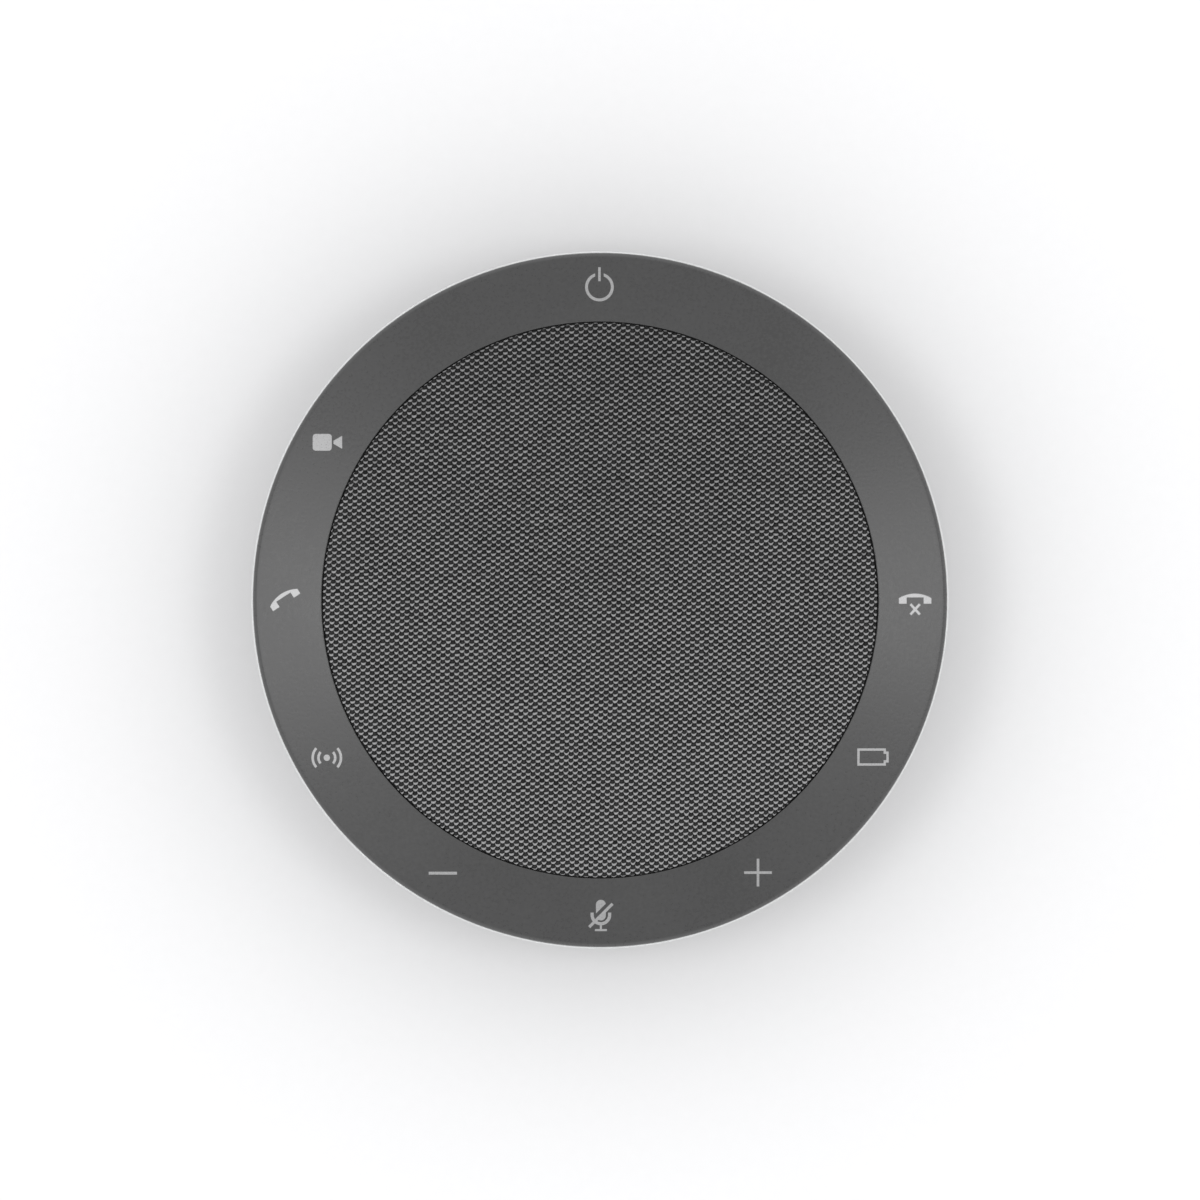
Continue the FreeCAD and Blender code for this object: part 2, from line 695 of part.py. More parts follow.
def make_inner_frame():
    body = new_body("inner_frame")
    step = "deck_high - 1.2"
    rib_top = "board_low - play"
    add_revolution(body, "deck", [
        ("deck_opening", "deck_low"),
        ("deck_radius", "deck_low"),
        ("deck_radius", "deck_high"),
        ("rib_outer + rib_thick", "deck_high"),
        ("rib_outer + rib_thick", rib_top),
        ("rib_outer", rib_top),
        ("rib_outer", "deck_high"),
        ("rib_inner + rib_thick", "deck_high"),
        ("rib_inner + rib_thick", rib_top),
        ("rib_inner", rib_top),
        ("rib_inner", "deck_high"),
        ("deck_recess", "deck_high"),
        ("deck_recess", step),
        ("deck_opening", step)])
    post_circle(body, "closing_posts", "post_circle", "post_radius", "post_split + play",
                "deck_low - post_split", 4, 45)
    post_circle(body, "baffle_bosses", "baffle_screw_circle", "2.2", "17.5", "deck_low - 17.5 + 0.1", 4)
    holders = sketch_on(body, "microphone_holder_sketch", offset="13.5")
    draw_outline(holders, [
        ("51.2 * cos(45) + 3.5 * sin(45)", "51.2 * sin(45) - 3.5 * cos(45)"),
        ("52.3 * cos(45) + 3.5 * sin(45)", "52.3 * sin(45) - 3.5 * cos(45)"),
        ("52.3 * cos(45) - 3.5 * sin(45)", "52.3 * sin(45) + 3.5 * cos(45)"),
        ("51.2 * cos(45) - 3.5 * sin(45)", "51.2 * sin(45) + 3.5 * cos(45)")])
    add_pad(body, "microphone_holders", holders, "deck_low - 13.5 + 0.1", 4)
    hole_circle(body, "post_pilots", "post_circle", "closing_shank + 0.05", "post_split", "9", 4, 45)
    hole_circle(body, "baffle_pilots", "baffle_screw_circle", "1", "18.5", "5", 4)
    hole_circle(body, "ring_screw_holes", "ring_screw_circle", "1.2", "deck_low", "2", 6)
    slot = sketch_on(body, "cable_slot_sketch", offset="deck_low")
    draw_rectangle(slot, "52.2", "53.4", "-5", "5")
    add_pocket(body, "cable_slot", slot, "3")
    notch = sketch_on(body, "rib_notch_sketch", offset="deck_high")
    draw_rectangle(notch, "rib_inner - 0.5", "rib_inner + rib_thick + 0.5", "-6", "6")
    add_pocket(body, "rib_notch", notch, "3")
    keep(body)


def make_frame_screws():
    screws("ring_screws", "ring_screw_circle", "deck_low - play", "1.9", "1.4", "0.78", "25.4", 6,
           upward=True)
    screws("baffle_screws", "baffle_screw_circle", "baffle_high + play", "1.9", "1.4", "0.95", "18.9", 4)


# ---------------------------------------------------------------- grille
def crown_radius(edge, crown, radius):
    """Radius of the ball whose cap rises from an edge height to a crown over a radius."""
    rise = f"(({crown}) - ({edge}))"
    return f"(({radius})^2 + {rise}^2) / (2 * {rise})"


def make_grille_frame():
    """A shallow dome with a hoop round it, pierced by rings of round holes."""
    outer = crown_radius("grille_edge", "grille_crown", "grille_radius")
    body = new_body("grille_frame")
    add_revolution(body, "grille_dome", [
        ("0", "grille_crown - grille_thick", f"-({outer} - grille_thick)"),
        ("grille_radius - grille_thick", "grille_edge - grille_thick"),
        ("grille_radius - grille_thick", "ledge_high + play"),
        ("grille_radius", "ledge_high + play"),
        ("grille_radius", "grille_edge", outer),
        ("0", "grille_crown")])
    for ring in range(1, 9):
        hole_circle(body, f"grille_holes_{ring}", f"grille_pitch * {ring}", "grille_hole", "28", "6",
                    6 * ring)
    keep(body)


def make_grille_cloth():
    """The cloth as one plain cap that wraps over the edge of the grille frame."""
    outer = crown_radius("cloth_edge", "full_height", "cloth_radius - cloth_round")
    inner = crown_radius("grille_edge", "grille_crown", "grille_radius")
    turned("grille_cloth", [
        ("0", "grille_crown + glue_gap", f"-({inner})"),
        ("grille_radius + glue_gap", "grille_edge + glue_gap"),
        ("grille_radius + glue_gap", "ledge_high + cloth_hem"),
        ("cloth_radius", "ledge_high + cloth_hem"),
        ("cloth_radius", "cloth_edge - cloth_round", "cloth_round"),
        ("cloth_radius - cloth_round", "cloth_edge", outer),
        ("0", "full_height")])


# ---------------------------------------------------------------- loudspeaker
def make_chamber():
    inside = "chamber_radius - chamber_wall"
    flange_low = "deck_high - 1.2 + play"
    body = new_body("chamber_cup")
    add_revolution(body, "cup", [
        ("0", "chamber_low"),
        ("chamber_radius", "chamber_low"),
        ("chamber_radius", flange_low),
        ("chamber_flange", flange_low),
        ("chamber_flange", "deck_high - 0.3"),
        (inside, "deck_high - 0.3"),
        (inside, "chamber_low + 1.6"),
        ("0", "chamber_low + 1.6")])
    wire_way = sketch_on(body, "wire_way_sketch", "YZ_Plane", "27")
    draw_circle(wire_way, "0", "12", "1.9")
    add_pocket(body, "wire_way", wire_way, "6")
    body.Placement = FreeCAD.Placement(Vector(0, 0, 0), FreeCAD.Rotation(Vector(0, 0, 1), CHAMBER_TURN))
    keep(body)
    turned("chamber_gasket", [
        (f"{inside} + 0.6", "deck_high - 0.3 + play"),
        ("chamber_flange - 0.4", "deck_high - 0.3 + play"),
        ("chamber_flange - 0.4", "deck_high - play"),
        (f"{inside} + 0.6", "deck_high - play")])
    plate = new_body("baffle")
    add_revolution(plate, "baffle_plate", [
        ("baffle_opening", "deck_high"),
        ("baffle_radius", "deck_high"),
        ("baffle_radius", "baffle_high"),
        ("baffle_opening", "baffle_high")])
    hole_circle(plate, "baffle_holes", "baffle_screw_circle", "1.1", "deck_high - 1", "4", 4)
    hole_circle(plate, "driver_pilots", "driver_screw_circle", "0.8", "deck_high - 1", "4", 4, 45)
    keep(plate)


def make_motor():
    turned("top_plate", [
        ("former_radius + 0.95", "magnet_high"),
        ("19", "magnet_high"),
        ("19", "gap_high"),
        ("former_radius + 0.95", "gap_high")])
    turned("magnet", [
        ("12", "magnet_low"),
        ("18", "magnet_low"),
        ("18", "magnet_high - play"),
        ("12", "magnet_high - play")])
    pole = "former_radius - former_thick - 0.4"
    turned("yoke", [
        ("2.5", "magnet_low - 2.5"),
        ("18.5", "magnet_low - 2.5"),
        ("18.5", "magnet_low - play"),
        (pole, "magnet_low - play"),
        (pole, "gap_high + 0.3"),
        ("2.5", "gap_high + 0.3")])


def make_basket():
    body = new_body("basket")
    add_revolution(body, "basket_shell", [
        ("12.5", "gap_high + play"),
        ("20.2", "gap_high + play"),
        ("22.4", "baffle_high + play"),
        ("basket_flange", "baffle_high + play"),
        ("basket_flange", "basket_high"),
        ("roll_middle + roll_radius - 0.3", "basket_high"),
        ("roll_middle + roll_radius - 0.3", "basket_high - 1.4"),
        ("19.2", "shelf_high"),
        ("16.8", "shelf_high"),
        ("16.8", "gap_high + 0.8"),
        ("12.5", "gap_high + 0.8")])
    window = sketch_on(body, "basket_window_sketch", "YZ_Plane", "15")
    draw_rectangle(window, "-6.5", "6.5", "shelf_high + 0.8", "baffle_high - 0.9")
    add_pocket(body, "basket_windows", window, "10", 6)
    hole_circle(body, "basket_holes", "driver_screw_circle", "1", "baffle_high - 1", "4", 4, 45)
    keep(body)
    screws("driver_screws", "driver_screw_circle", "basket_high + play", "1.3", "1", "0.75",
           "deck_high + 0.3", 4, 45)


def make_suspension():
    """Surround: one half roll. Spider: a flat ring with four corrugations."""
    arch = "roll_middle"
    lip = "basket_high + skin_thick"
    reach = "sqrt(roll_radius^2 - skin_thick^2)"
    turned("surround", [
        ("cone_lip + 0.2", "basket_high + play"),
        (f"{arch} - roll_radius + skin_thick", "basket_high + play", "skin_thick - roll_radius"),
        (arch, "basket_high + play + roll_radius - skin_thick", "skin_thick - roll_radius"),
        (f"{arch} + roll_radius - skin_thick", "basket_high + play"),
        ("driver_screw_circle - 1.5", "basket_high + play"),
        ("driver_screw_circle - 1.5", lip),
        (f"{arch} + {reach}", lip, "roll_radius"),
        (f"{arch} - {reach}", lip),
        ("cone_lip + 0.2", lip)])
    low, thick, wave = "shelf_high + play", "0.3", "1.6"
    bends = [f"{wave} * {0.75 * sign}" for sign in (1, -1, 1, -1)]
    under = [(f"10.4 + {wave} * {step}", low, bends[step]) for step in range(4)]
    over = [(f"16.8 - {wave} * {step}", f"{low} + {thick}", bends[step]) for step in range(4)]
    turned("spider", [("former_radius + play", low), *under, ("16.8", low), ("19", low),
                      ("19", f"{low} + {thick}"), *over, ("10.4", f"{low} + {thick}"),
                      ("former_radius + play", f"{low} + {thick}")])


def make_moving_assembly():
    """What the voice coil drives: cone, former, coil and dust cap."""
    lip_high = "basket_high - play"
    turned("cone", [
        ("former_radius", "neck_high - cone_thick"),
        ("cone_lip", f"{lip_high} - cone_thick"),
        ("cone_radius", f"{lip_high} - cone_thick"),
        ("cone_radius", lip_high),
        ("cone_lip", lip_high),
        ("former_radius", "neck_high")])
    turned("coil_former", [
        ("former_radius - former_thick", "magnet_high - 1.6"),
        ("former_radius", "magnet_high - 1.6"),
        ("former_radius", "neck_high + 0.6"),
        ("former_radius - former_thick", "neck_high + 0.6")])
    turned("voice_coil", [
        ("former_radius", "magnet_high - 1.25"),
        ("former_radius + coil_thick", "magnet_high - 1.25"),
        ("former_radius + coil_thick", "magnet_high + 3.75"),
        ("former_radius", "magnet_high + 3.75")])
    rim, crown = "neck_high + 1.4", "neck_high + 4.2"
    ball = crown_radius(rim, crown, "10.9")
    turned("dust_cap", [
        ("0", f"{crown} - 0.3", f"-({ball})"),
        ("10.6", f"{rim} - 0.15"),
        ("10.9", rim, ball),
        ("0", crown)])


# ---------------------------------------------------------------- electronics and battery
def chip(name, radius, angle, length, width, height, low="main_low + main_thick + play"):
    """A block on the main board, its length along the circle, at a polar place."""
    return bar(name, length, width, f"{radius} * cos({angle})", f"{radius} * sin({angle})",
               angle + 90, low, height)


def board_screw_angles():
    """Directions of the main board's four screws."""
    return [side * BOARD_SCREW_TURN + half for half in (0, 180) for side in (-1, 1)]


def make_main_board():
    """A C-shaped board round the chamber with a tongue for the socket and holes for posts and screws."""
    thick = "main_thick"
    under, deep = "main_low - 1", "main_thick + 2"
    sheet_of_board = disc("board_disc", "main_outer", start=-25, sweep=230, low="main_low", thick=thick)
    sector = cut("board_sector", sheet_of_board, disc("board_opening", "main_inner", low=under, thick=deep))
    tongue = bar("board_tongue", "13", "8.4", y="49.2", low="main_low", thick=thick)
    whole = fuse("board_whole", sector, tongue)
    holes = []
    for angle in (45, 135):
        holes.append(disc(f"post_hole_{angle}", "post_radius + 0.7", f"post_circle * cos({angle})",
                          f"post_circle * sin({angle})", low=under, thick=deep))
    for angle in board_screw_angles():
        holes.append(disc(f"screw_hole_{angle + 18}", "1.1", f"standoff_circle * cos({angle})",
                          f"standoff_circle * sin({angle})", low=under, thick=deep))
    keep(cut("main_board", whole, fuse("board_holes", *holes)))


def make_board_screws():
    body = new_body("board_screws")
    seat, top = "main_low + main_thick + play", "main_low + main_thick + 1.4"
    for number, angle in enumerate(board_screw_angles(), start=1):
        x, y = f"standoff_circle * cos({angle})", f"standoff_circle * sin({angle})"
        shank = sketch_on(body, f"shank_{number}_sketch", offset="4.6")
        draw_circle(shank, x, y, "0.95")
        add_pad(body, f"shank_{number}", shank, f"{seat} - 4.6")
        head = sketch_on(body, f"head_{number}_sketch", offset=seat)
        draw_circle(head, x, y, "1.8")
        add_pad(body, f"head_{number}", head, f"{top} - ({seat})")
    keep(body)


def make_components():
    keep(rounded("shield_can", chip("shield_block", "42", 4, "9", "10", "2"), "0.8"))
    keep(chip("processor", "42", 69, "8", "8", "1"))
    keep(chip("wireless_module", "42", 180, "11", "9", "2"))
    keep(chip("amplifier", "42", 112, "6", "6", "1.2"))
    keep(chip("power_inductor", "37", 90, "5", "5", "3"))
    sockets = [
        bar("touch_socket", "51.8 - board_inner", "9", x="(52.2 + board_inner) / 2", low="board_low - 1.2",
            thick="1.2 - play"),
        chip("battery_socket", "42", -22, "4", "3.4", "3"),
        chip("speaker_socket", "36.5", CHAMBER_TURN, "5", "4", "3"),
        chip("cable_socket", "49.6", 0, "9", "3", "1.2")]
    keep(group("connectors", *sockets))
    turned("capacitors", [
        ("0", "main_low + main_thick + play"),
        ("1.6", "main_low + main_thick + play"),
        ("1.6", "main_low + main_thick + 5"),
        ("0", "main_low + main_thick + 5")], "48.5", turn=CHAMBER_TURN)


def socket_middle():
    """Height of the middle of the USB-C socket, which stands on the main board."""
    return "(main_low + main_thick + play + socket_high / 2)"


def draw_socket_outline(sketch, grow):
    """The socket's outline with half-round ends, grown all round by an amount."""
    end = f"(socket_high / 2 + {grow})"
    half = "((socket_width - socket_high) / 2)"
    middle = socket_middle()
    draw_outline(sketch, [
        (f"-{half}", f"{middle} - {end}"),
        (half, f"{middle} - {end}", end),
        (f"{half} + {end}", middle, end),
        (half, f"{middle} + {end}"),
        (f"-{half}", f"{middle} + {end}", end),
        (f"-{half} - {end}", middle, end)])


def make_socket():
    """USB-C socket: a drawn steel shell with a tongue inside; it opens outwards at the cover's wall."""
    body = new_body("usb_socket")
    shell = sketch_on(body, "shell_sketch", "XZ_Plane", "-socket_mouth")
    draw_socket_outline(shell, "0")
    add_pad(body, "shell", shell, "socket_length")
    mouth = sketch_on(body, "mouth_sketch", "XZ_Plane", "-socket_mouth")
    draw_socket_outline(mouth, "(-socket_wall)")
    add_pocket(body, "mouth", mouth, "socket_length - 1")
    keep(body)
    keep(bar("usb_tongue", "6.69", "5", y="socket_mouth - 3.9", low=f"{socket_middle()} - 0.35",
             thick="0.7"))


def cut_socket_port(cover):
    """The slot in the cover's wall that the socket looks out of."""
    port = sketch_on(cover, "socket_port_sketch", "XZ_Plane", "-60")
    draw_socket_outline(port, "port_ease")
    add_pocket(cover, "socket_port", port, "8")


def make_microphones():
    """Four microphones, each on a small board behind a rubber boot with a sound channel."""
    slabs("microphone_boards", "52.32", "52.7", "5", "port_height - 2.5", "5", 4, 45)
    slabs("microphones", "52.72", "53.8", "3.8", "port_height - 1.5", "3", 4, 45)
    body = new_body("microphone_boots", 45)
    sketch = sketch_on(body, "boot_sketch", offset="port_height - 3")
    draw_rectangle(sketch, "53.82", "55.6", "-3", "3")
    add_pad(body, "boot", sketch, "6", 4)
    channel = sketch_on(body, "channel_sketch", "YZ_Plane", "50")
    draw_circle(channel, "0", "port_height", "sound_port")
    add_pocket(body, "channel", channel, "8", 4)
    keep(body)


def make_battery():
    middle = "-(pack_near + pack_depth / 2)"
    block = bar("pack_block", "pack_length", "pack_depth", y=middle, low="pack_low", thick="pack_height")
    keep(rounded("battery_pack", block, "1.5"))
    floor = "foot_proud + cover_wall"
    keep(bar("battery_pad", "pack_length - 8", "pack_depth - 5", y=middle, low=f"{floor} + play",
             thick=f"pack_low - ({floor}) - 2 * play"))


def tube(route, radius):
    """A round wire along straight runs that are joined by tangent arcs."""
    edges, here = [], route[0]
    for before, corner, after in zip(route, route[1:], route[2:]):
        inward, outward = (corner - before).normalize(), (after - corner).normalize()
        half = inward.getAngle(outward) / 2
        setback = 0.45 * min((corner - before).Length, (after - corner).Length)
        bend = setback / math.tan(half)
        start, end = corner - inward * setback, corner + outward * setback
        towards = (outward - inward).normalize()
        middle = corner + towards * (bend / math.cos(half) - bend)
        edges.append(Part.LineSegment(here, start).toShape())
        edges.append(Part.Arc(start, middle, end).toShape())
        here = end
    edges.append(Part.LineSegment(here, route[-1]).toShape())
    spine = Part.Wire(edges)
    section = Part.Wire(Part.Circle(route[0], route[1] - route[0], radius).toShape())
    wire = spine.makePipeShell([section], True, True)
    if abs(wire.Volume / (math.pi * radius ** 2 * spine.Length) - 1) > 0.01:
        raise RuntimeError("a wire lost its section")
    return wire


def make_leads():
    """Two pairs of wires that the housing holds all the way, and the flat cable to the touch board."""
    top = size_of("main_low + main_thick + 2")
    pack_end = size_of("pack_length / 2") + 0.05
    battery_wires = []
    for offset in (-0.8, 0.8):
        battery_wires.append(tube([
            Vector(pack_end, -39 + offset, 13.5), Vector(25.5, -39.5 + offset, 13.5),
            Vector(35.5 + offset, -34.5, 13.3), Vector(38.9 + offset, -25, top),
            Vector(38.9 + offset, -18.4, top)], 0.5))
    leads = doc.addObject("Part::Feature", "battery_leads")
    leads.Shape = Part.makeCompound(battery_wires)
    keep(leads)
    speaker_wires = []
    spin = FreeCAD.Placement(Vector(0, 0, 0), FreeCAD.Rotation(Vector(0, 0, 1), CHAMBER_TURN))
    for offset in (-0.7, 0.7):
        wire = tube([Vector(23.05, offset, 18.5), Vector(26.3, offset, 18.2), Vector(27, offset, 12.6),
                     Vector(31.2, offset, 12), Vector(34.4, offset, 11.6)], 0.4)
        wire.Placement = spin
        speaker_wires.append(wire)
    leads = doc.addObject("Part::Feature", "speaker_leads")
    leads.Shape = Part.makeCompound(speaker_wires)
    keep(leads)


def make_terminals():
    slabs("terminal_strip", "21.5", "22.6", "6", "17", "3.4", 1, CHAMBER_TURN)
    body = new_body("terminal_pads", CHAMBER_TURN)
    for side in (-1, 1):
        sketch = sketch_on(body, f"pad_sketch_{side + 1}", offset="17.6")
        draw_rectangle(sketch, "22.62", "23", f"{side} * 1.6 - 1.2", f"{side} * 1.6 + 1.2")
        add_pad(body, f"terminal_pad_{side + 1}", sketch, "2")
    keep(body)
    grommet = new_body("lead_grommet", CHAMBER_TURN)
    sketch = sketch_on(grommet, "grommet_sketch", "YZ_Plane", "chamber_radius - chamber_wall - 0.6")
    draw_circle(sketch, "0", "12", "1.85")
    add_pad(grommet, "grommet_plug", sketch, "chamber_wall + 1.2")
    keep(grommet)


def make_flat_cable():
    """A flat cable: out from the main board, up through the frame's slot and in to the touch board."""
    thick = "0.25"
    out, up, low = "52.9", "board_low - 0.5", "main_low + main_thick + 0.8"
    body = new_body("flat_cable")
    sketch = sketch_on(body, "cable_sketch", "XZ_Plane", "-4")
    draw_outline(sketch, [
        ("51.15", low),
        (f"{out} - 1", low, "1"),
        (out, f"{low} + 1"),
        (out, f"{up} - 0.6", "0.6"),
        (f"{out} - 0.6", up),
        ("52.02", up),
        ("52.02", f"{up} - {thick}"),
        (f"{out} - 0.6", f"{up} - {thick}", f"-(0.6 - {thick})"),
        (f"{out} - {thick}", f"{up} - 0.6"),
        (f"{out} - {thick}", f"{low} + 1", f"-(1 - {thick})"),
        (f"{out} - 1", f"{low} + {thick}"),
        ("51.15", f"{low} + {thick}")])
    add_pad(body, "cable_pad", sketch, "8")
    keep(body)


# ---------------------------------------------------------------- build, test and write
def build():
    make_foot()
    cover = make_bottom_cover()
    make_closing_screws()
    make_rating_plate()
    make_light_ring()
    make_control_ring()
    make_touch_film()
    make_touch_board()
    make_inner_frame()
    make_frame_screws()
    make_grille_frame()
    make_grille_cloth()
    make_chamber()
    make_motor()
    make_basket()
    make_suspension()
    make_moving_assembly()
    make_main_board()
    make_board_screws()
    make_components()
    make_socket()
    cut_socket_port(cover)
    make_microphones()
    make_battery()
    make_terminals()
    make_leads()
    make_flat_cable()


def check_document():
    doc.recompute()
    for item in doc.Objects:
        if "Invalid" in item.State or "Error" in item.State:
            raise RuntimeError(f"{item.Name} failed: {item.State}")
    for piece in pieces:
        if piece.Shape.isNull() or not piece.Shape.isValid() or not piece.Shape.Solids:
            raise RuntimeError(f"{piece.Label} is not a valid solid")


def write_parts():
    os.makedirs("parts", exist_ok=True)
    for piece in pieces:
        piece.Shape.exportStep(f"parts/{piece.Label}.step")
        box = piece.Shape.BoundBox
        print(f"{piece.Label:20s} solids {len(piece.Shape.Solids):2d} volume {piece.Shape.Volume:9.1f}"
              f"  radius {box.XMax:6.2f}  height {box.ZMin:6.2f} to {box.ZMax:6.2f}")


build()
check_document()
write_parts()
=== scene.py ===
import json
import math

import bpy
import numpy as np
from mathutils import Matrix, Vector


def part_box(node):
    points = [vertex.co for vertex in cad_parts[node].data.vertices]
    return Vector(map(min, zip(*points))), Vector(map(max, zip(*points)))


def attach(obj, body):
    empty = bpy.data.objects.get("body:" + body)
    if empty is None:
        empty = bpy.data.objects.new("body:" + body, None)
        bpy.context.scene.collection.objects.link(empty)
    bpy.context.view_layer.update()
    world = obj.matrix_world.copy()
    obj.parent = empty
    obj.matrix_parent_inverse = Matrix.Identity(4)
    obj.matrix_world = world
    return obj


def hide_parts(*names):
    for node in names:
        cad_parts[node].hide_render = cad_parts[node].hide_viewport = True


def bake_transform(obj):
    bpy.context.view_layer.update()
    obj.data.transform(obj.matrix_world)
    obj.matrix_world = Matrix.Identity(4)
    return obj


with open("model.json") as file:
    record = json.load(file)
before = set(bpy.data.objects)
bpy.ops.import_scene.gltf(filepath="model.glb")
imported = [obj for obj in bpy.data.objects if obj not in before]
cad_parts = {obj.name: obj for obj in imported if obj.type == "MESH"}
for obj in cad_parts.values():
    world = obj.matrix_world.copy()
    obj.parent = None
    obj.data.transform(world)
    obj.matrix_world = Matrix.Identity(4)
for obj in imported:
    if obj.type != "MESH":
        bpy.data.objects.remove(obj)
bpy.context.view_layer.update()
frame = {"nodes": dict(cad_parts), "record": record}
nodes = frame["nodes"]
seeded = np.random.default_rng(20)

MM = 0.001

# ---------------------------------------------------------------- sizes, all from the frame, in metres

ring_low, ring_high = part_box("control_ring")
cloth_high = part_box("grille_cloth")[1]

BODY_RADIUS = ring_high.x
EDGE_HEIGHT = max(v.co.z for v in nodes["control_ring"].data.vertices
                  if math.hypot(v.co.x, v.co.y) > 0.9995 * BODY_RADIUS)
CLOTH_PROUD = 0.27 * MM
CLOTH_RADIUS = cloth_high.x + CLOTH_PROUD
CLOTH_TOP = cloth_high.z

# the cloth's surface: a shallow dome, a rounded edge, and a short turn down into the groove
CLOTH_EDGE_ROUND = 0.2 * MM
DOME_RADIUS = CLOTH_RADIUS - CLOTH_EDGE_ROUND
DOME_RISE = 2.4 * MM
DOME_EDGE = CLOTH_TOP - DOME_RISE
DOME_SPHERE = (DOME_RADIUS ** 2 + DOME_RISE ** 2) / (2 * DOME_RISE)
EDGE_TILT = math.asin(DOME_RADIUS / DOME_SPHERE)
DOME_REACH = DOME_SPHERE * EDGE_TILT
TURN_DOWN = 4.2 * MM        # how far the cloth runs on past the grille's edge

# the weave: floats stand in a brick pattern that lies a little askew
FLOAT_PITCH = 1.625 * MM
ROW_PITCH = 1.107 * MM
ROW_TURN = math.radians(1.56)
COLUMN_LEAN = math.radians(1.97)
YARN_HEIGHT = 0.30 * MM
FLOAT_LEAN = 0.09           # slope of a float against its row
CROWN = -0.25               # where a float is highest, from -1 to 1 across its width

# how much one float differs from the next
SIZE_SCATTER = 0.04
PLACE_SCATTER = 0.015 * MM
LEAN_SCATTER = 0.05
BOW_SCATTER = 0.25

# the surround and the spider
SECTORS = 24
STEPS = 8                   # slices in each sector


# ---------------------------------------------------------------- node materials

WAVE_SCALE = 0.314          # scale at which a wave texture repeats once per unit


def shader_of(name, metallic=0.0, specular=0.5, coat=0.0):
    """A new material, its node tree and its Principled shader."""
    material = bpy.data.materials.new(name)
    material.use_nodes = True
    tree = material.node_tree
    shader = tree.nodes["Principled BSDF"]
    shader.inputs["Metallic"].default_value = metallic
    shader.inputs["Specular IOR Level"].default_value = specular
    shader.inputs["Coat Weight"].default_value = coat
    return material, tree, shader


def place(tree, stretch=(1, 1, 1)):
    """The point on the object in metres, stretched along each axis."""
    coordinates = tree.nodes.new("ShaderNodeTexCoord")
    mapping = tree.nodes.new("ShaderNodeMapping")
    mapping.inputs["Scale"].default_value = stretch
    tree.links.new(coordinates.outputs["Object"], mapping.inputs["Vector"])
    return mapping.outputs["Vector"]


def height_of(tree, axis):
    """The point's own coordinate along one axis, in metres."""
    parts = tree.nodes.new("ShaderNodeSeparateXYZ")
    tree.links.new(place(tree), parts.inputs["Vector"])
    return parts.outputs[axis]


def axis_distance(tree):
    """How far the point is from the part's upright axis, in metres."""
    flat = tree.nodes.new("ShaderNodeVectorMath")
    flat.operation = "LENGTH"
    tree.links.new(place(tree, (1, 1, 0)), flat.inputs[0])
    return flat.outputs["Value"]


def noise(tree, where, grain, detail=3.0):
    """Cloudy noise whose spots are about grain metres wide."""
    node = tree.nodes.new("ShaderNodeTexNoise")
    node.inputs["Scale"].default_value = 1 / grain
    node.inputs["Detail"].default_value = detail
    tree.links.new(where, node.inputs["Vector"])
    return node.outputs["Fac"]


def cells(tree, where, grain):
    """Distance from the middle of irregular cells about grain metres wide."""
    node = tree.nodes.new("ShaderNodeTexVoronoi")
    node.inputs["Scale"].default_value = 1 / grain
    tree.links.new(where, node.inputs["Vector"])
    return node.outputs["Distance"]


def stripes(tree, where, pitch, direction="Z", kind="BANDS"):
    """Parallel ridges, pitch metres apart, or rings about the upright axis."""
    node = tree.nodes.new("ShaderNodeTexWave")
    node.wave_type = kind
    if kind == "BANDS":
        node.bands_direction = direction
    else:
        node.rings_direction = direction
    node.inputs["Scale"].default_value = WAVE_SCALE / pitch
    tree.links.new(where, node.inputs["Vector"])
    return node.outputs["Fac"]


def spread(tree, value, low, high, start=0.3, end=0.7):
    """value mapped from start..end to low..high."""
    node = tree.nodes.new("ShaderNodeMapRange")
    node.inputs["From Min"].default_value = start
    node.inputs["From Max"].default_value = end
    node.inputs["To Min"].default_value = low
    node.inputs["To Max"].default_value = high
    tree.links.new(value, node.inputs["Value"])
    return node.outputs["Result"]


def calculate(tree, operation, a, b):
    """The result of one operation on two values, each a number or a socket."""
    node = tree.nodes.new("ShaderNodeMath")
    node.operation = operation
    for socket, value in zip(node.inputs, (a, b)):
        if isinstance(value, (int, float)):
            socket.default_value = value
        else:
            tree.links.new(value, socket)
    return node.outputs["Value"]


def mix_values(tree, first, second, weight):
    """weight parts of the first value and the rest of the second."""
    return calculate(tree, "ADD", calculate(tree, "MULTIPLY", first, weight),
                     calculate(tree, "MULTIPLY", second, 1 - weight))


def choose_value(tree, share, low, high):
    """low where share is 0, high where it is 1, each of them a socket."""
    node = tree.nodes.new("ShaderNodeMix")
    tree.links.new(share, node.inputs["Factor"])
    tree.links.new(low, node.inputs["A"])
    tree.links.new(high, node.inputs["B"])
    return node.outputs["Result"]


def blend_colours(tree, share, dark, light):
    """dark where share is 0, light where it is 1, each a colour or a socket."""
    node = tree.nodes.new("ShaderNodeMix")
    node.data_type = "RGBA"
    tree.links.new(share, node.inputs["Factor"])
    for socket, colour in ((node.inputs["A"], dark), (node.inputs["B"], light)):
        if isinstance(colour, tuple):
            socket.default_value = (*colour, 1)
        else:
            tree.links.new(colour, socket)
    return node.outputs["Result"]


def bump(tree, shader, height, depth, base=None):
    """Relief of about depth metres on the shader, over an earlier relief."""
    node = tree.nodes.new("ShaderNodeBump")
    node.inputs["Strength"].default_value = 1.0
    node.inputs["Distance"].default_value = depth
    tree.links.new(height, node.inputs["Height"])
    if base is not None:
        tree.links.new(base, node.inputs["Normal"])
    tree.links.new(node.outputs["Normal"], shader.inputs["Normal"])
    return node.outputs["Normal"]


def dress(tree, shader, colour, roughness):
    """Give the shader its colour and its gloss."""
    tree.links.new(colour, shader.inputs["Base Color"])
    tree.links.new(roughness, shader.inputs["Roughness"])


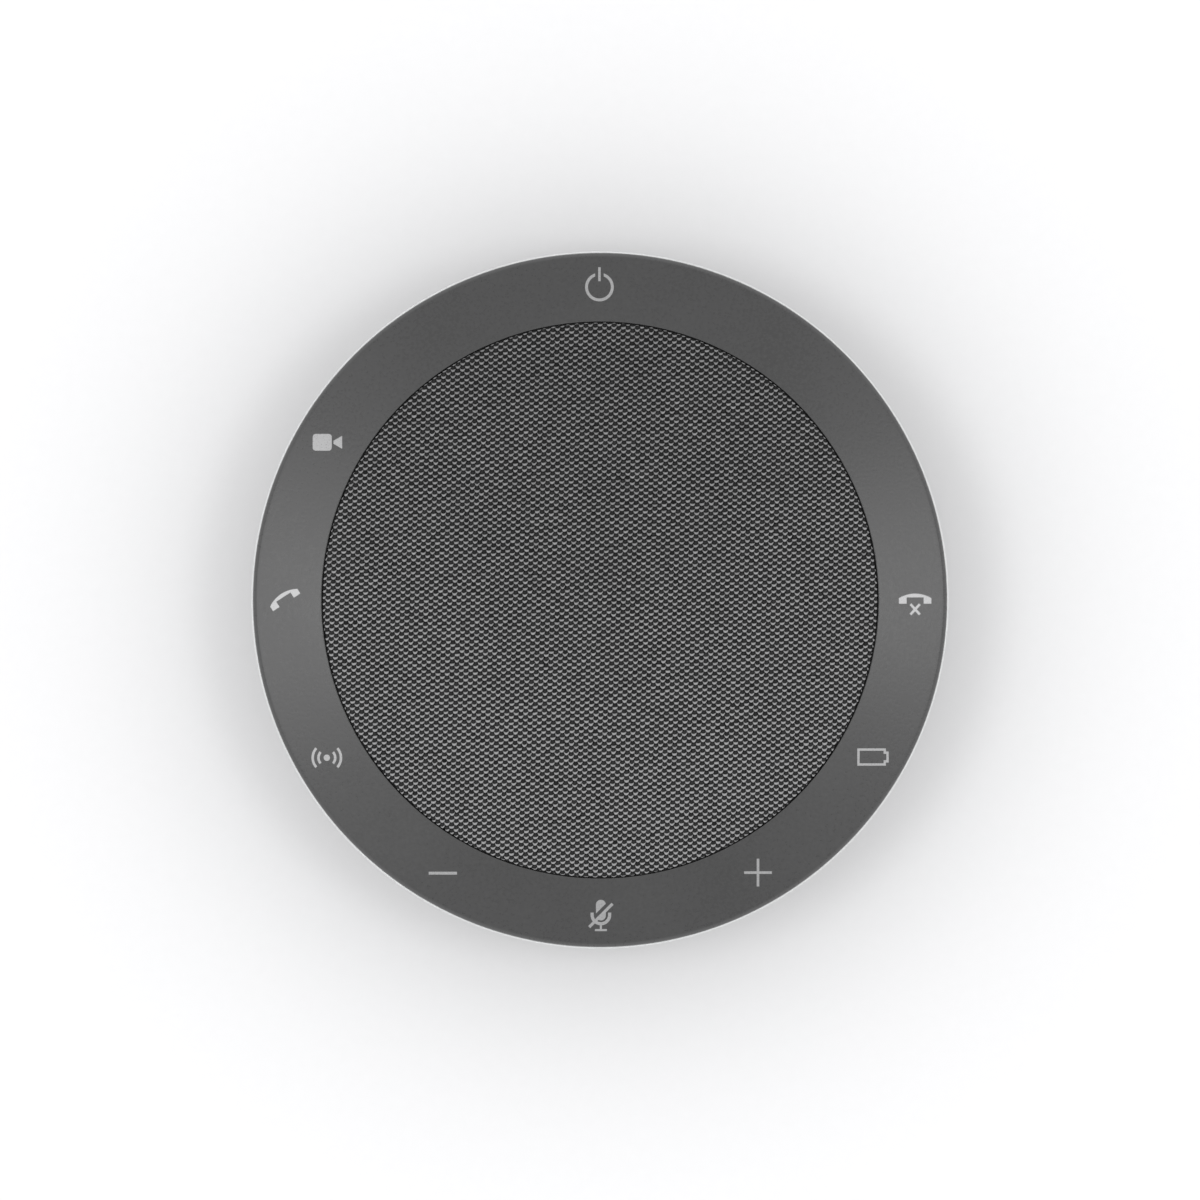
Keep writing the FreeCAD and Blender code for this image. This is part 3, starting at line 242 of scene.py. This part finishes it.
def grey(level):
    """A grey with a trace of blue."""
    return (level, level, level * 1.01)


def finish(name, dark, light, rough=(0.4, 0.5), cloud=8 * MM, grain=0.15 * MM, depth=4e-6,
           metallic=0.0, specular=0.5, coat=0.0, stretch=(1, 1, 1)):
    """A moulded, cast or pressed surface: cloudy colour, uneven gloss and a fine grain."""
    material, tree, shader = shader_of(name, metallic, specular, coat)
    where = place(tree, stretch)
    clouds = noise(tree, where, cloud)
    fine = noise(tree, where, grain, detail=2.0)
    tone = mix_values(tree, clouds, fine, 0.6)
    colour = blend_colours(tree, spread(tree, tone, 0, 1), dark, light)
    dress(tree, shader, colour, spread(tree, tone, *rough))
    bump(tree, shader, fine, depth)
    return material


def ring_plastic():
    """Satin moulded plastic: spark-eroded grain, faint flow clouds, and a painted highlight that makes the
    outer edge a touch lighter.
    """
    material, tree, shader = shader_of("ring_plastic")
    where = place(tree)
    clouds = noise(tree, where, 22 * MM, detail=4.0)
    grain = noise(tree, where, 0.6 * MM, detail=2.0)
    fine = noise(tree, where, 0.2 * MM, detail=2.0)
    tone = mix_values(tree, clouds, grain, 0.45)
    plain = blend_colours(tree, spread(tree, tone, 0, 1), grey(0.033), grey(0.046))
    # painted highlight: the last 0.7 mm of the ring towards its outer edge is made lighter
    painted_edge_highlight = spread(tree, axis_distance(tree), 0, 1, start=BODY_RADIUS - 0.7 * MM, end=BODY_RADIUS)
    dress(tree, shader, blend_colours(tree, painted_edge_highlight, plain, grey(0.075)), spread(tree, tone, 0.25, 0.32))
    first = bump(tree, shader, grain, 11e-6)
    bump(tree, shader, fine, 2e-6, first)
    return material


def cover_plastic():
    """Moulded shell with a coarser spark-eroded texture than the ring's."""
    material, tree, shader = shader_of("cover_plastic", specular=0.45)
    where = place(tree)
    clouds = noise(tree, where, 26 * MM, detail=4.0)
    pits = cells(tree, where, 0.45 * MM)
    grain = noise(tree, where, 0.2 * MM)
    tone = mix_values(tree, clouds, grain, 0.55)
    colour = blend_colours(tree, spread(tree, tone, 0, 1), grey(0.026), grey(0.036))
    dress(tree, shader, colour, spread(tree, tone, 0.42, 0.52))
    first = bump(tree, shader, grain, 5e-6)
    bump(tree, shader, pits, 6e-6, first)
    return material


def symbol_print():
    """Pale silver ink over a milky window, with the ink's fine flake in it."""
    material, tree, shader = shader_of("symbol_print", metallic=0.37)
    grain = noise(tree, place(tree), 0.25 * MM)
    colour = blend_colours(tree, spread(tree, grain, 0, 1), grey(0.285), grey(0.34))
    dress(tree, shader, colour, spread(tree, grain, 0.26, 0.33))
    bump(tree, shader, grain, 1.5e-6)
    return material


def light_guide():
    """Milky light guide: a little light passes and scatters in it."""
    material, tree, shader = shader_of("light_guide")
    grain = noise(tree, place(tree), 0.5 * MM)
    colour = blend_colours(tree, spread(tree, grain, 0, 1), (0.67, 0.68, 0.68), (0.73, 0.74, 0.74))
    dress(tree, shader, colour, spread(tree, grain, 0.28, 0.36))
    shader.inputs["Subsurface Weight"].default_value = 0.25
    shader.inputs["Subsurface Radius"].default_value = (1.0, 1.0, 1.0)
    shader.inputs["Subsurface Scale"].default_value = 0.8 * MM
    bump(tree, shader, grain, 2e-6)
    return material


def yarn(name, dark, light, tips, specular):
    """Spun yarn: fine filaments along the float, and a lighter colour towards its crest, partly the yarn's
    light filaments and partly painted shade that darkens the float where it dips, with a painted highlight on
    its crest.
    """
    material, tree, shader = shader_of(name, specular=specular)
    filaments = noise(tree, place(tree, (0.35, 1.6, 1)), 0.09 * MM, detail=2.0)
    clouds = noise(tree, place(tree), 14 * MM)
    # the crest attribute carries painted shade and a painted highlight: high at each float's crown, low where
    # it dips
    crest_and_painted_shade = tree.nodes.new("ShaderNodeAttribute")
    crest_and_painted_shade.attribute_name = "crest_and_painted_shade"
    body = blend_colours(tree, spread(tree, filaments, 0, 1), dark, light)
    # painted shade: the cloth is made lighter at its front (-Y) and darker at its back
    painted_front_to_back_shade = spread(tree, height_of(tree, "Y"), 1.29, 0.66, start=-CLOTH_RADIUS, end=CLOTH_RADIUS)
    # lighter from the cloth's middle towards its edge
    middle_to_edge = spread(tree, axis_distance(tree), 0.95, 1.09, start=0, end=CLOTH_RADIUS)
    # random dye clouds, times the painted front-to-back shade and the middle-to-edge change
    dye_and_painted_shade = calculate(tree, "MULTIPLY", spread(tree, clouds, 0.94, 1.06), painted_front_to_back_shade)
    dye_and_painted_shade = calculate(tree, "MULTIPLY", dye_and_painted_shade, middle_to_edge)
    share = calculate(tree, "MULTIPLY", crest_and_painted_shade.outputs["Fac"], dye_and_painted_shade)
    # the body colour is blended towards tips by the crest attribute: painted shade in the dips, painted
    # highlight at the crest
    dress(tree, shader, blend_colours(tree, share, body, tips), spread(tree, filaments, 0.62, 0.8))
    bump(tree, shader, filaments, 12e-6)
    return material


def woven(name, dark, light, pitch, rough, depth, specular=0.3):
    """A close plain weave of one yarn."""
    material, tree, shader = shader_of(name, specular=specular)
    where = place(tree)
    weave = calculate(tree, "MAXIMUM", stripes(tree, where, pitch, "X"), stripes(tree, where, pitch, "Y"))
    slubs = noise(tree, where, 3 * MM)
    tone = mix_values(tree, weave, slubs, 0.5)
    dress(tree, shader, blend_colours(tree, tone, dark, light), spread(tree, tone, *rough))
    bump(tree, shader, weave, depth)
    return material


def machined(name, dark, light, pitch, rough, kind="RINGS", direction="Z"):
    """Turned, wound or brushed metal: fine ridges, uneven gloss and light handling marks."""
    material, tree, shader = shader_of(name, metallic=1.0)
    ridges = stripes(tree, place(tree), pitch, direction, kind)
    marks = noise(tree, place(tree, (1, 6, 1)), 2 * MM, detail=4.0)
    tone = mix_values(tree, ridges, marks, 0.35)
    colour = blend_colours(tree, spread(tree, tone, 0, 1), dark, light)
    dress(tree, shader, colour, spread(tree, marks, *rough))
    bump(tree, shader, ridges, 3e-6)
    return material


def circuit_board():
    """Green solder mask over copper tracks, with tinned dots where the tracks are bare."""
    material, tree, shader = shader_of("circuit_board", coat=0.3)
    where = place(tree)
    along = stripes(tree, where, 1.6 * MM, "X")
    across = stripes(tree, where, 1.9 * MM, "Y")
    zones = noise(tree, where, 7 * MM, detail=0.0)
    tracks = calculate(tree, "GREATER_THAN", choose_value(tree, zones, along, across), 0.72)
    weave = noise(tree, where, 0.4 * MM)
    mask = blend_colours(tree, tracks, (0.008, 0.075, 0.028), (0.02, 0.16, 0.05))
    dots = calculate(tree, "LESS_THAN", cells(tree, where, 2.6 * MM), 0.13)
    dress(tree, shader, blend_colours(tree, dots, mask, (0.55, 0.54, 0.5)), spread(tree, weave, 0.25, 0.42))
    bump(tree, shader, tracks, 25e-6)
    return material


def floor_surface():
    """Matt pale board with a hardly visible tooth."""
    material, tree, shader = shader_of("floor_board", specular=0.1)
    tooth = noise(tree, place(tree), 2 * MM, detail=4.0)
    dress(tree, shader, blend_colours(tree, tooth, grey(0.80), grey(0.82)), spread(tree, tooth, 0.85, 0.95))
    bump(tree, shader, tooth, 5e-6)
    return material


FINISHES = {
    "ring_plastic": ring_plastic(),
    "cover_plastic": cover_plastic(),
    "symbol_print": symbol_print(),
    "light_guide": light_guide(),
    "circuit_board": circuit_board(),
    "frame_plastic": finish("frame_plastic", grey(0.016), grey(0.024), (0.42, 0.52)),
    "rubber_foot": finish("rubber_foot", grey(0.018), grey(0.028), (0.72, 0.86), grain=0.3 * MM,
                          depth=12e-6, specular=0.3),
    "rubber_seal": finish("rubber_seal", grey(0.014), grey(0.022), (0.6, 0.75), depth=8e-6, specular=0.3),
    "foam": finish("foam", grey(0.02), grey(0.045), (0.85, 0.95), grain=0.5 * MM, depth=80e-6, specular=0.2),
    "cone_paper": finish("cone_paper", grey(0.02), grey(0.045), (0.7, 0.85), cloud=3 * MM, grain=0.3 * MM,
                         depth=25e-6, stretch=(1, 1, 2), specular=0.3),
    "surround_rubber": finish("surround_rubber", grey(0.012), grey(0.02), (0.45, 0.6), depth=5e-6),
    "former": finish("former", (0.30, 0.13, 0.02), (0.42, 0.20, 0.04), (0.25, 0.35)),
    "film": finish("film", (0.36, 0.17, 0.02), (0.50, 0.26, 0.05), (0.25, 0.38), coat=0.2),
    "chip_black": finish("chip_black", grey(0.014), grey(0.022), (0.45, 0.6), grain=0.1 * MM, depth=5e-6),
    "led_lens": finish("led_lens", (0.66, 0.62, 0.36), (0.8, 0.77, 0.52), (0.12, 0.2)),
    "connector_white": finish("connector_white", (0.68, 0.66, 0.58), (0.76, 0.74, 0.67), (0.35, 0.5)),
    "battery_wrap": finish("battery_wrap", (0.50, 0.52, 0.55), (0.62, 0.64, 0.67), (0.28, 0.45), cloud=5 * MM,
                           grain=0.8 * MM, depth=30e-6, metallic=0.8),
    "wire_pvc": finish("wire_pvc", (0.34, 0.015, 0.012), (0.45, 0.03, 0.02), (0.35, 0.5)),
    "magnet_ferrite": finish("magnet_ferrite", grey(0.04), grey(0.07), (0.5, 0.7), cloud=2 * MM, depth=15e-6),
    "basket_steel": finish("basket_steel", grey(0.018), grey(0.03), (0.35, 0.5), grain=0.4 * MM, depth=8e-6),
    "microphone_can": finish("microphone_can", (0.62, 0.45, 0.2), (0.72, 0.56, 0.28), (0.25, 0.35),
                             metallic=1.0),
    "shield_tin": finish("shield_tin", grey(0.5), grey(0.62), (0.28, 0.42), metallic=1.0, stretch=(1, 5, 1)),
    "socket_steel": finish("socket_steel", grey(0.5), grey(0.6), (0.22, 0.32), metallic=1.0,
                           stretch=(1, 1, 4)),
    "soft_iron": machined("soft_iron", grey(0.42), grey(0.56), 0.25 * MM, (0.25, 0.4)),
    "screw_steel": machined("screw_steel", grey(0.4), grey(0.55), 0.2 * MM, (0.25, 0.4)),
    "plate": machined("plate", grey(0.30), grey(0.38), 0.12 * MM, (0.35, 0.5), kind="BANDS", direction="Y"),
    "copper": machined("copper", (0.6, 0.25, 0.1), (0.78, 0.38, 0.2), 0.18 * MM, (0.2, 0.3), kind="BANDS"),
    "suspension_cloth": woven("suspension_cloth", (0.34, 0.19, 0.05), (0.52, 0.34, 0.12), 0.45 * MM,
                              (0.6, 0.75), 60e-6),
    # near-black: partly the cloth's own colour and partly painted shade for the hollows between its yarns
    "grille_cloth": woven("grille_cloth", grey(0.004), grey(0.012), 0.55 * MM, (0.8, 0.9), 60e-6,
                          specular=0.05),
}

for subpart in frame["record"]["subparts"]:
    mesh = nodes[subpart["node"]].data
    mesh.materials.clear()
    mesh.materials.append(FINISHES[subpart["material_slot"]])


# ---------------------------------------------------------------- mesh helpers

def new_piece(name, points, faces, material):
    """A smooth-shaded object in the scene."""
    mesh = bpy.data.meshes.new(name)
    mesh.from_pydata([tuple(p) for p in points], [], [tuple(f) for f in faces])
    mesh.materials.append(material)
    mesh.polygons.foreach_set("use_smooth", [True] * len(mesh.polygons))
    mesh.update()
    piece = bpy.data.objects.new(name, mesh)
    bpy.context.scene.collection.objects.link(piece)
    return piece


def strip_faces(rows, columns):
    """Faces of a grid of points, row after row."""
    faces = []
    for row in range(rows - 1):
        for column in range(columns - 1):
            a, b = row * columns + column, (row + 1) * columns + column
            faces.append((a, b, b + 1, a + 1))
    return faces


def turned_points(outline, turns):
    """A copy of the outline's (radius, height) points at each turn about the upright axis."""
    return [(r * math.cos(a), r * math.sin(a), z) for a in turns for r, z in outline]


def turned_faces(copies, count, closed):
    """Faces between neighbouring copies of an outline of count points; closed joins last to first."""
    faces = []
    for copy in range(copies if closed else copies - 1):
        here, there = copy * count, (copy + 1) % copies * count
        for corner in range(count):
            following = (corner + 1) % count
            faces.append((here + corner, there + corner, there + following, here + following))
    return faces


def turned_ring(name, outline, material, segments=360):
    """A closed outline turned all the way round."""
    turns = [2 * math.pi * step / segments for step in range(segments)]
    faces = turned_faces(segments, len(outline), closed=True)
    piece = new_piece(name, turned_points(outline, turns), faces, material)
    piece.data.set_sharp_from_angle(angle=math.radians(25))
    return piece


def rounded_corner(centre, radius, first, last, steps=12):
    """Points along an arc from the angle first to the angle last, in degrees."""
    angles = [math.radians(first + (last - first) * step / steps) for step in range(steps + 1)]
    return [(centre[0] + radius * math.cos(a), centre[1] + radius * math.sin(a)) for a in angles]


# ---------------------------------------------------------------- the turned rims

def make_ring_rim():
    """The control ring's rounded edge, turned finely enough to look smooth from the side."""
    edge_round = 0.8 * MM
    slope = 9                   # degrees
    proud = 0.008 * MM
    depth = 0.25 * MM
    centre_r = BODY_RADIUS - edge_round
    rim_top = max(v.co.z for v in nodes["control_ring"].data.vertices
                  if math.hypot(v.co.x, v.co.y) > centre_r + 0.05 * MM)
    centre = (centre_r, rim_top - edge_round * math.cos(math.radians(slope)))
    corner = rounded_corner(centre, edge_round + proud, 0, 90 - slope)
    inner_r, inner_z = corner[-1][0] - depth, corner[-1][1] + depth * math.tan(math.radians(slope))
    outline = ([(BODY_RADIUS - depth, ring_low.z), (BODY_RADIUS + proud, ring_low.z)] + corner
               + [(inner_r, inner_z), (inner_r, inner_z - depth), (BODY_RADIUS - depth, centre[1])])
    rim = turned_ring("control_ring_rim", outline, FINISHES["ring_plastic"])
    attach(rim, "housing")


def make_light_guide():
    """The light ring, with both of its outer corners rounded."""
    low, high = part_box("light_ring")
    inner, edge = 58.3 * MM, 0.3 * MM
    outline = ([(inner, low.z)] + rounded_corner((high.x - edge, low.z + edge), edge, -90, 0)
               + rounded_corner((high.x - edge, high.z - edge), edge, 0, 90) + [(inner, high.z)])
    guide = turned_ring("light_guide_ring", outline, FINISHES["light_guide"])
    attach(guide, "housing")
    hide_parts("light_ring")


make_ring_rim()
make_light_guide()


# ---------------------------------------------------------------- the grille cloth

def on_cloth(across, along, lift):
    """Where points of the flat cloth lie once it is stretched over the grille, lifted off its surface."""
    flat = np.hypot(across, along)
    round_reach = CLOTH_EDGE_ROUND * (math.pi / 2 - EDGE_TILT)
    tilt = np.where(flat < DOME_REACH, flat / DOME_SPHERE,
                    np.minimum(EDGE_TILT + (flat - DOME_REACH) / CLOTH_EDGE_ROUND, math.pi / 2))
    past_dome = tilt > EDGE_TILT
    centre_r = DOME_RADIUS - CLOTH_EDGE_ROUND * math.sin(EDGE_TILT)
    centre_z = DOME_EDGE - CLOTH_EDGE_ROUND * math.cos(EDGE_TILT)
    radius = np.where(past_dome, centre_r + CLOTH_EDGE_ROUND * np.sin(tilt), DOME_SPHERE * np.sin(tilt))
    height = np.where(past_dome, centre_z + CLOTH_EDGE_ROUND * np.cos(tilt),
                      CLOTH_TOP - DOME_SPHERE * (1 - np.cos(tilt)))
    height = height - np.maximum(flat - DOME_REACH - round_reach, 0)
    radius = radius + lift * np.sin(tilt)
    height = height + lift * np.cos(tilt)
    unit = np.where(flat > 1e-9, radius / np.maximum(flat, 1e-9), 1.0)
    return np.stack([across * unit, along * unit, height], axis=-1)


def cloth_backing(reach):
    """The cloth itself, a dark sheet under the floats; where it shows between them its near-black is partly
    the cloth's colour and partly painted shade for the hollows of the weave.
    """
    rings, sectors = 60, 192
    points = [on_cloth(np.array(0.0), np.array(0.0), -YARN_HEIGHT)]
    turn = np.arange(sectors) * 2 * math.pi / sectors
    for ring in range(1, rings + 1):
        flat = reach * ring / rings
        points.extend(on_cloth(flat * np.cos(turn), flat * np.sin(turn), -YARN_HEIGHT))
    faces = [(0, 1 + s, 1 + (s + 1) % sectors) for s in range(sectors)]
    for ring in range(rings - 1):
        a, b = 1 + ring * sectors, 1 + (ring + 1) * sectors
        for s in range(sectors):
            t = (s + 1) % sectors
            faces.append((a + s, b + s, b + t, a + t))
    return new_piece("grille_fabric", points, faces, FINISHES["grille_cloth"])


def float_places(reach, shift=0.0):
    """Middles of the floats on the flat cloth, and each one's row; shift 1 gives the gaps between them."""
    places = []
    span = int(reach / ROW_PITCH) + 2
    across = np.array([math.cos(ROW_TURN), math.sin(ROW_TURN)]) * FLOAT_PITCH
    down = np.array([math.sin(COLUMN_LEAN), math.cos(COLUMN_LEAN)]) * ROW_PITCH / 2
    for row in range(-2 * span, 2 * span + 1):
        half = ((row + shift) % 2) / 2
        for column in range(-span, span + 1):
            middle = across * (column + half) + down * row
            if math.hypot(*middle) < reach:
                places.append((middle[0], middle[1], row))
    return np.array(places)


def float_mesh(name, places, material, columns, rows, width, depth, height, uneven,
               smile=0.0, quarter_turn=False):
    """One yarn hump per place, highest along its middle and sinking at its ends and its sides.

    A hump's ends bend up by smile; quarter_turn lays it along the columns instead of the rows.
    """
    u, v = np.meshgrid(np.linspace(-1, 1, columns), np.linspace(-1, 1, rows))
    u, v = u.ravel(), v.ravel()
    count, each = len(places), len(u)
    size = 1 + SIZE_SCATTER * seeded.standard_normal((count, 2))
    shove = PLACE_SCATTER * seeded.standard_normal((count, 2))
    lean = FLOAT_LEAN + LEAN_SCATTER * seeded.standard_normal(count)
    bow = smile * (1 + BOW_SCATTER * seeded.standard_normal(count))
    fill = np.clip(1 + uneven * seeded.standard_normal(count), 0.1, 1.8)
    taper = np.sqrt(1 - 0.3 * u ** 2)
    across = (u * width / 2)[None, :] * size[:, :1]
    along = (v * taper * depth / 2)[None, :] * size[:, 1:] + bow[:, None] * (u ** 2)[None, :]
    if quarter_turn:
        across, along = along, across
    turned = along + lean[:, None] * across
    side = np.where(v < CROWN, (CROWN - v) / (1 + CROWN), (v - CROWN) / (1 - CROWN))
    lift = height * ((1 - np.abs(u) ** 2.4) * (1 - side ** 2) ** 0.75 - 1.0)
    points = on_cloth(places[:, :1] + shove[:, :1] + across, places[:, 1:2] + shove[:, 1:] + turned,
                      np.broadcast_to(lift, (count, each)))
    one = np.array(strip_faces(rows, columns))
    if not quarter_turn:
        one = one[:, ::-1]
    faces = (one[None] + (np.arange(count) * each)[:, None, None]).reshape(-1, 4)
    piece = new_piece(name, points.reshape(-1, 3), faces, material)
    crest_and_painted_shade = piece.data.attributes.new("crest_and_painted_shade", "FLOAT", "POINT")
    # painted shade: the crest share follows the hump's shape, highest at its crown and falling to its ends
    # and sides, so the colour darkens where the float dips
    share = (1 - 0.8 * np.abs(u) ** 4) * (1 - side ** 2)
    crest_and_painted_shade.data.foreach_set("value", np.clip(fill[:, None] * share[None, :], 0, 1.5).ravel())
    return piece


def make_cloth():
    """The ground sheet and its floats: light ones along the rows, dark ones in the gaps between them."""
    backing = cloth_backing(CLOTH_RADIUS + TURN_DOWN)
    # each yarn's body colour is near-black and its tips colour light; the crest attribute blends them,
    # painting shade into the dips and a highlight onto the crest
    light = yarn("float_yarn", grey(0.012), grey(0.022), grey(0.298), 0.15)
    dark = yarn("weft_yarn", grey(0.004), grey(0.010), grey(0.027), 0.05)
    visible = CLOTH_RADIUS + 0.5 * MM
    places = float_places(visible)
    even_rows = places[:, 2] % 2 == 0
    made = [backing]
    for name, half in (("warp_floats_even", places[even_rows]), ("warp_floats_odd", places[~even_rows])):
        made.append(float_mesh(name, half, light, columns=7, rows=5, width=1.04 * MM, depth=0.58 * MM,
                               height=YARN_HEIGHT, uneven=0.08, smile=0.37 * MM))
    made.append(float_mesh("weft_floats", float_places(visible, shift=1), dark, columns=4, rows=4,
                           width=0.56 * MM, depth=0.8 * MM, height=0.55 * YARN_HEIGHT, uneven=0.25,
                           quarter_turn=True))
    for piece in made:
        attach(piece, "housing")
    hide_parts("grille_cloth")


make_cloth()


# ---------------------------------------------------------------- the suspensions, cut into sectors; on the real speaker they bend with the cone

def suspension(node, outline, slot):
    """A ring of equal sectors, each its own piece, between the housing, outside, and the cone, inside."""
    width = 2 * math.pi / SECTORS
    for sector in range(SECTORS):
        turns = [(sector + step / STEPS) * width for step in range(STEPS + 1)]
        faces = turned_faces(STEPS + 1, len(outline), closed=False)
        piece = new_piece(f"{node}_{sector + 1}", turned_points(outline, turns), faces, FINISHES[slot])
        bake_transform(piece)
        if sector == 0:
            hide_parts(node)


def surround_outline():
    """A half roll between two flat lands, of even thickness."""
    low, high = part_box("surround")
    inner, outer, base = 16.6 * MM, high.x, low.z
    roll_middle, roll_radius, thick = 19.9 * MM, 1.7 * MM, 0.5 * MM
    steps = 12
    arc = [math.pi * step / steps for step in range(steps + 1)]
    top = [(roll_middle - roll_radius * math.cos(a), base + roll_radius * math.sin(a)) for a in arc]
    under_radius = roll_radius - thick
    under = [(roll_middle - under_radius * math.cos(a), base + under_radius * math.sin(a)) for a in arc]
    return ([(inner, base + thick)] + [(r, max(z, base + thick)) for r, z in top] + [(outer, base + thick)]
            + [(outer, base)] + under[::-1] + [(inner, base)])


def spider_outline():
    """Concentric corrugations between a flat lip outside and the coil former inside."""
    low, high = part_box("spider")
    inner, outer = 9.57 * MM, high.x
    lip, waves, wave_height, thick = 1.6 * MM, 4, 0.3 * MM, 0.2 * MM
    steps = 8 * waves
    middle = (low.z + high.z) / 2
    line = []
    for step in range(steps + 1):
        share = step / steps
        radius = inner + (outer - lip - inner) * share
        fade = min(1.0, 6 * share, 6 * (1 - share))
        line.append((radius, middle + fade * wave_height * math.sin(2 * math.pi * waves * share)))
    line.append((outer, middle))
    return [(r, z + thick / 2) for r, z in line] + [(r, z - thick / 2) for r, z in reversed(line)]


suspension("surround", surround_outline(), "surround_rubber")
suspension("spider", spider_outline(), "suspension_cloth")


# ---------------------------------------------------------------- the stage: floor, light and camera

def make_floor():
    """A pale board, wide enough to fill every view."""
    mesh = bpy.data.meshes.new("floor")
    half = 3.0
    corners = [(-half, -half, 0), (half, -half, 0), (half, half, 0), (-half, half, 0)]
    mesh.from_pydata(corners, [], [(0, 1, 2, 3)])
    mesh.materials.append(floor_surface())
    floor = bpy.data.objects.new("floor", mesh)
    bpy.context.scene.collection.objects.link(floor)


def softbox(name, azimuth, elevation, distance, size, power):
    """A round soft light, size metres across, that looks at the part."""
    light = bpy.data.lights.new(name, "AREA")
    light.shape = "DISK"
    light.size = size
    light.energy = power
    lamp = bpy.data.objects.new(name, light)
    a, e = math.radians(azimuth), math.radians(elevation)
    way = Vector((math.cos(a) * math.cos(e), math.sin(a) * math.cos(e), math.sin(e)))
    lamp.location = way * distance
    lamp.rotation_mode = "QUATERNION"
    lamp.rotation_quaternion = way.to_track_quat("Z", "Y")
    bpy.context.scene.collection.objects.link(lamp)


def make_sky(overhead, swell):
    """A white tent round the part: its sides, half way up, are brighter than its top by swell."""
    world = bpy.data.worlds.new("studio")
    world.use_nodes = True
    tree = world.node_tree
    way = tree.nodes.new("ShaderNodeTexCoord")
    parts = tree.nodes.new("ShaderNodeSeparateXYZ")
    tree.links.new(way.outputs["Generated"], parts.inputs["Vector"])
    up = spread(tree, parts.outputs["Z"], 0, 1, start=0, end=1)
    down = spread(tree, parts.outputs["Z"], 1, 0, start=0, end=1)
    bulge = calculate(tree, "MULTIPLY", calculate(tree, "MULTIPLY", up, down), 4 * swell)
    background = tree.nodes["Background"]
    background.inputs["Color"].default_value = (1, 1, 1, 1)
    tree.links.new(calculate(tree, "ADD", bulge, overhead), background.inputs["Strength"])
    bpy.context.scene.world = world


def make_camera(frame_width):
    """Straight above the part, far enough away to look flat."""
    camera_data = bpy.data.cameras.new("camera")
    camera_data.lens = 600
    camera_data.sensor_width = 36
    distance = frame_width * camera_data.lens / camera_data.sensor_width
    camera_data.clip_start = distance / 10
    camera_data.clip_end = distance * 3
    camera = bpy.data.objects.new("camera", camera_data)
    camera.location = (0, 0, EDGE_HEIGHT + distance)
    bpy.context.scene.collection.objects.link(camera)
    bpy.context.scene.camera = camera


FRAME_WIDTH = 3.457 * BODY_RADIUS       # what the picture spans at the height of the ring's edge
make_floor()
make_sky(0.76, 0.54)
softbox("left_light", azimuth=181, elevation=72, distance=1.6, size=0.46, power=2.4)
softbox("right_light", azimuth=2, elevation=72, distance=1.6, size=0.40, power=1.95)
make_camera(FRAME_WIDTH)
bpy.context.scene.view_settings.view_transform = "Standard"
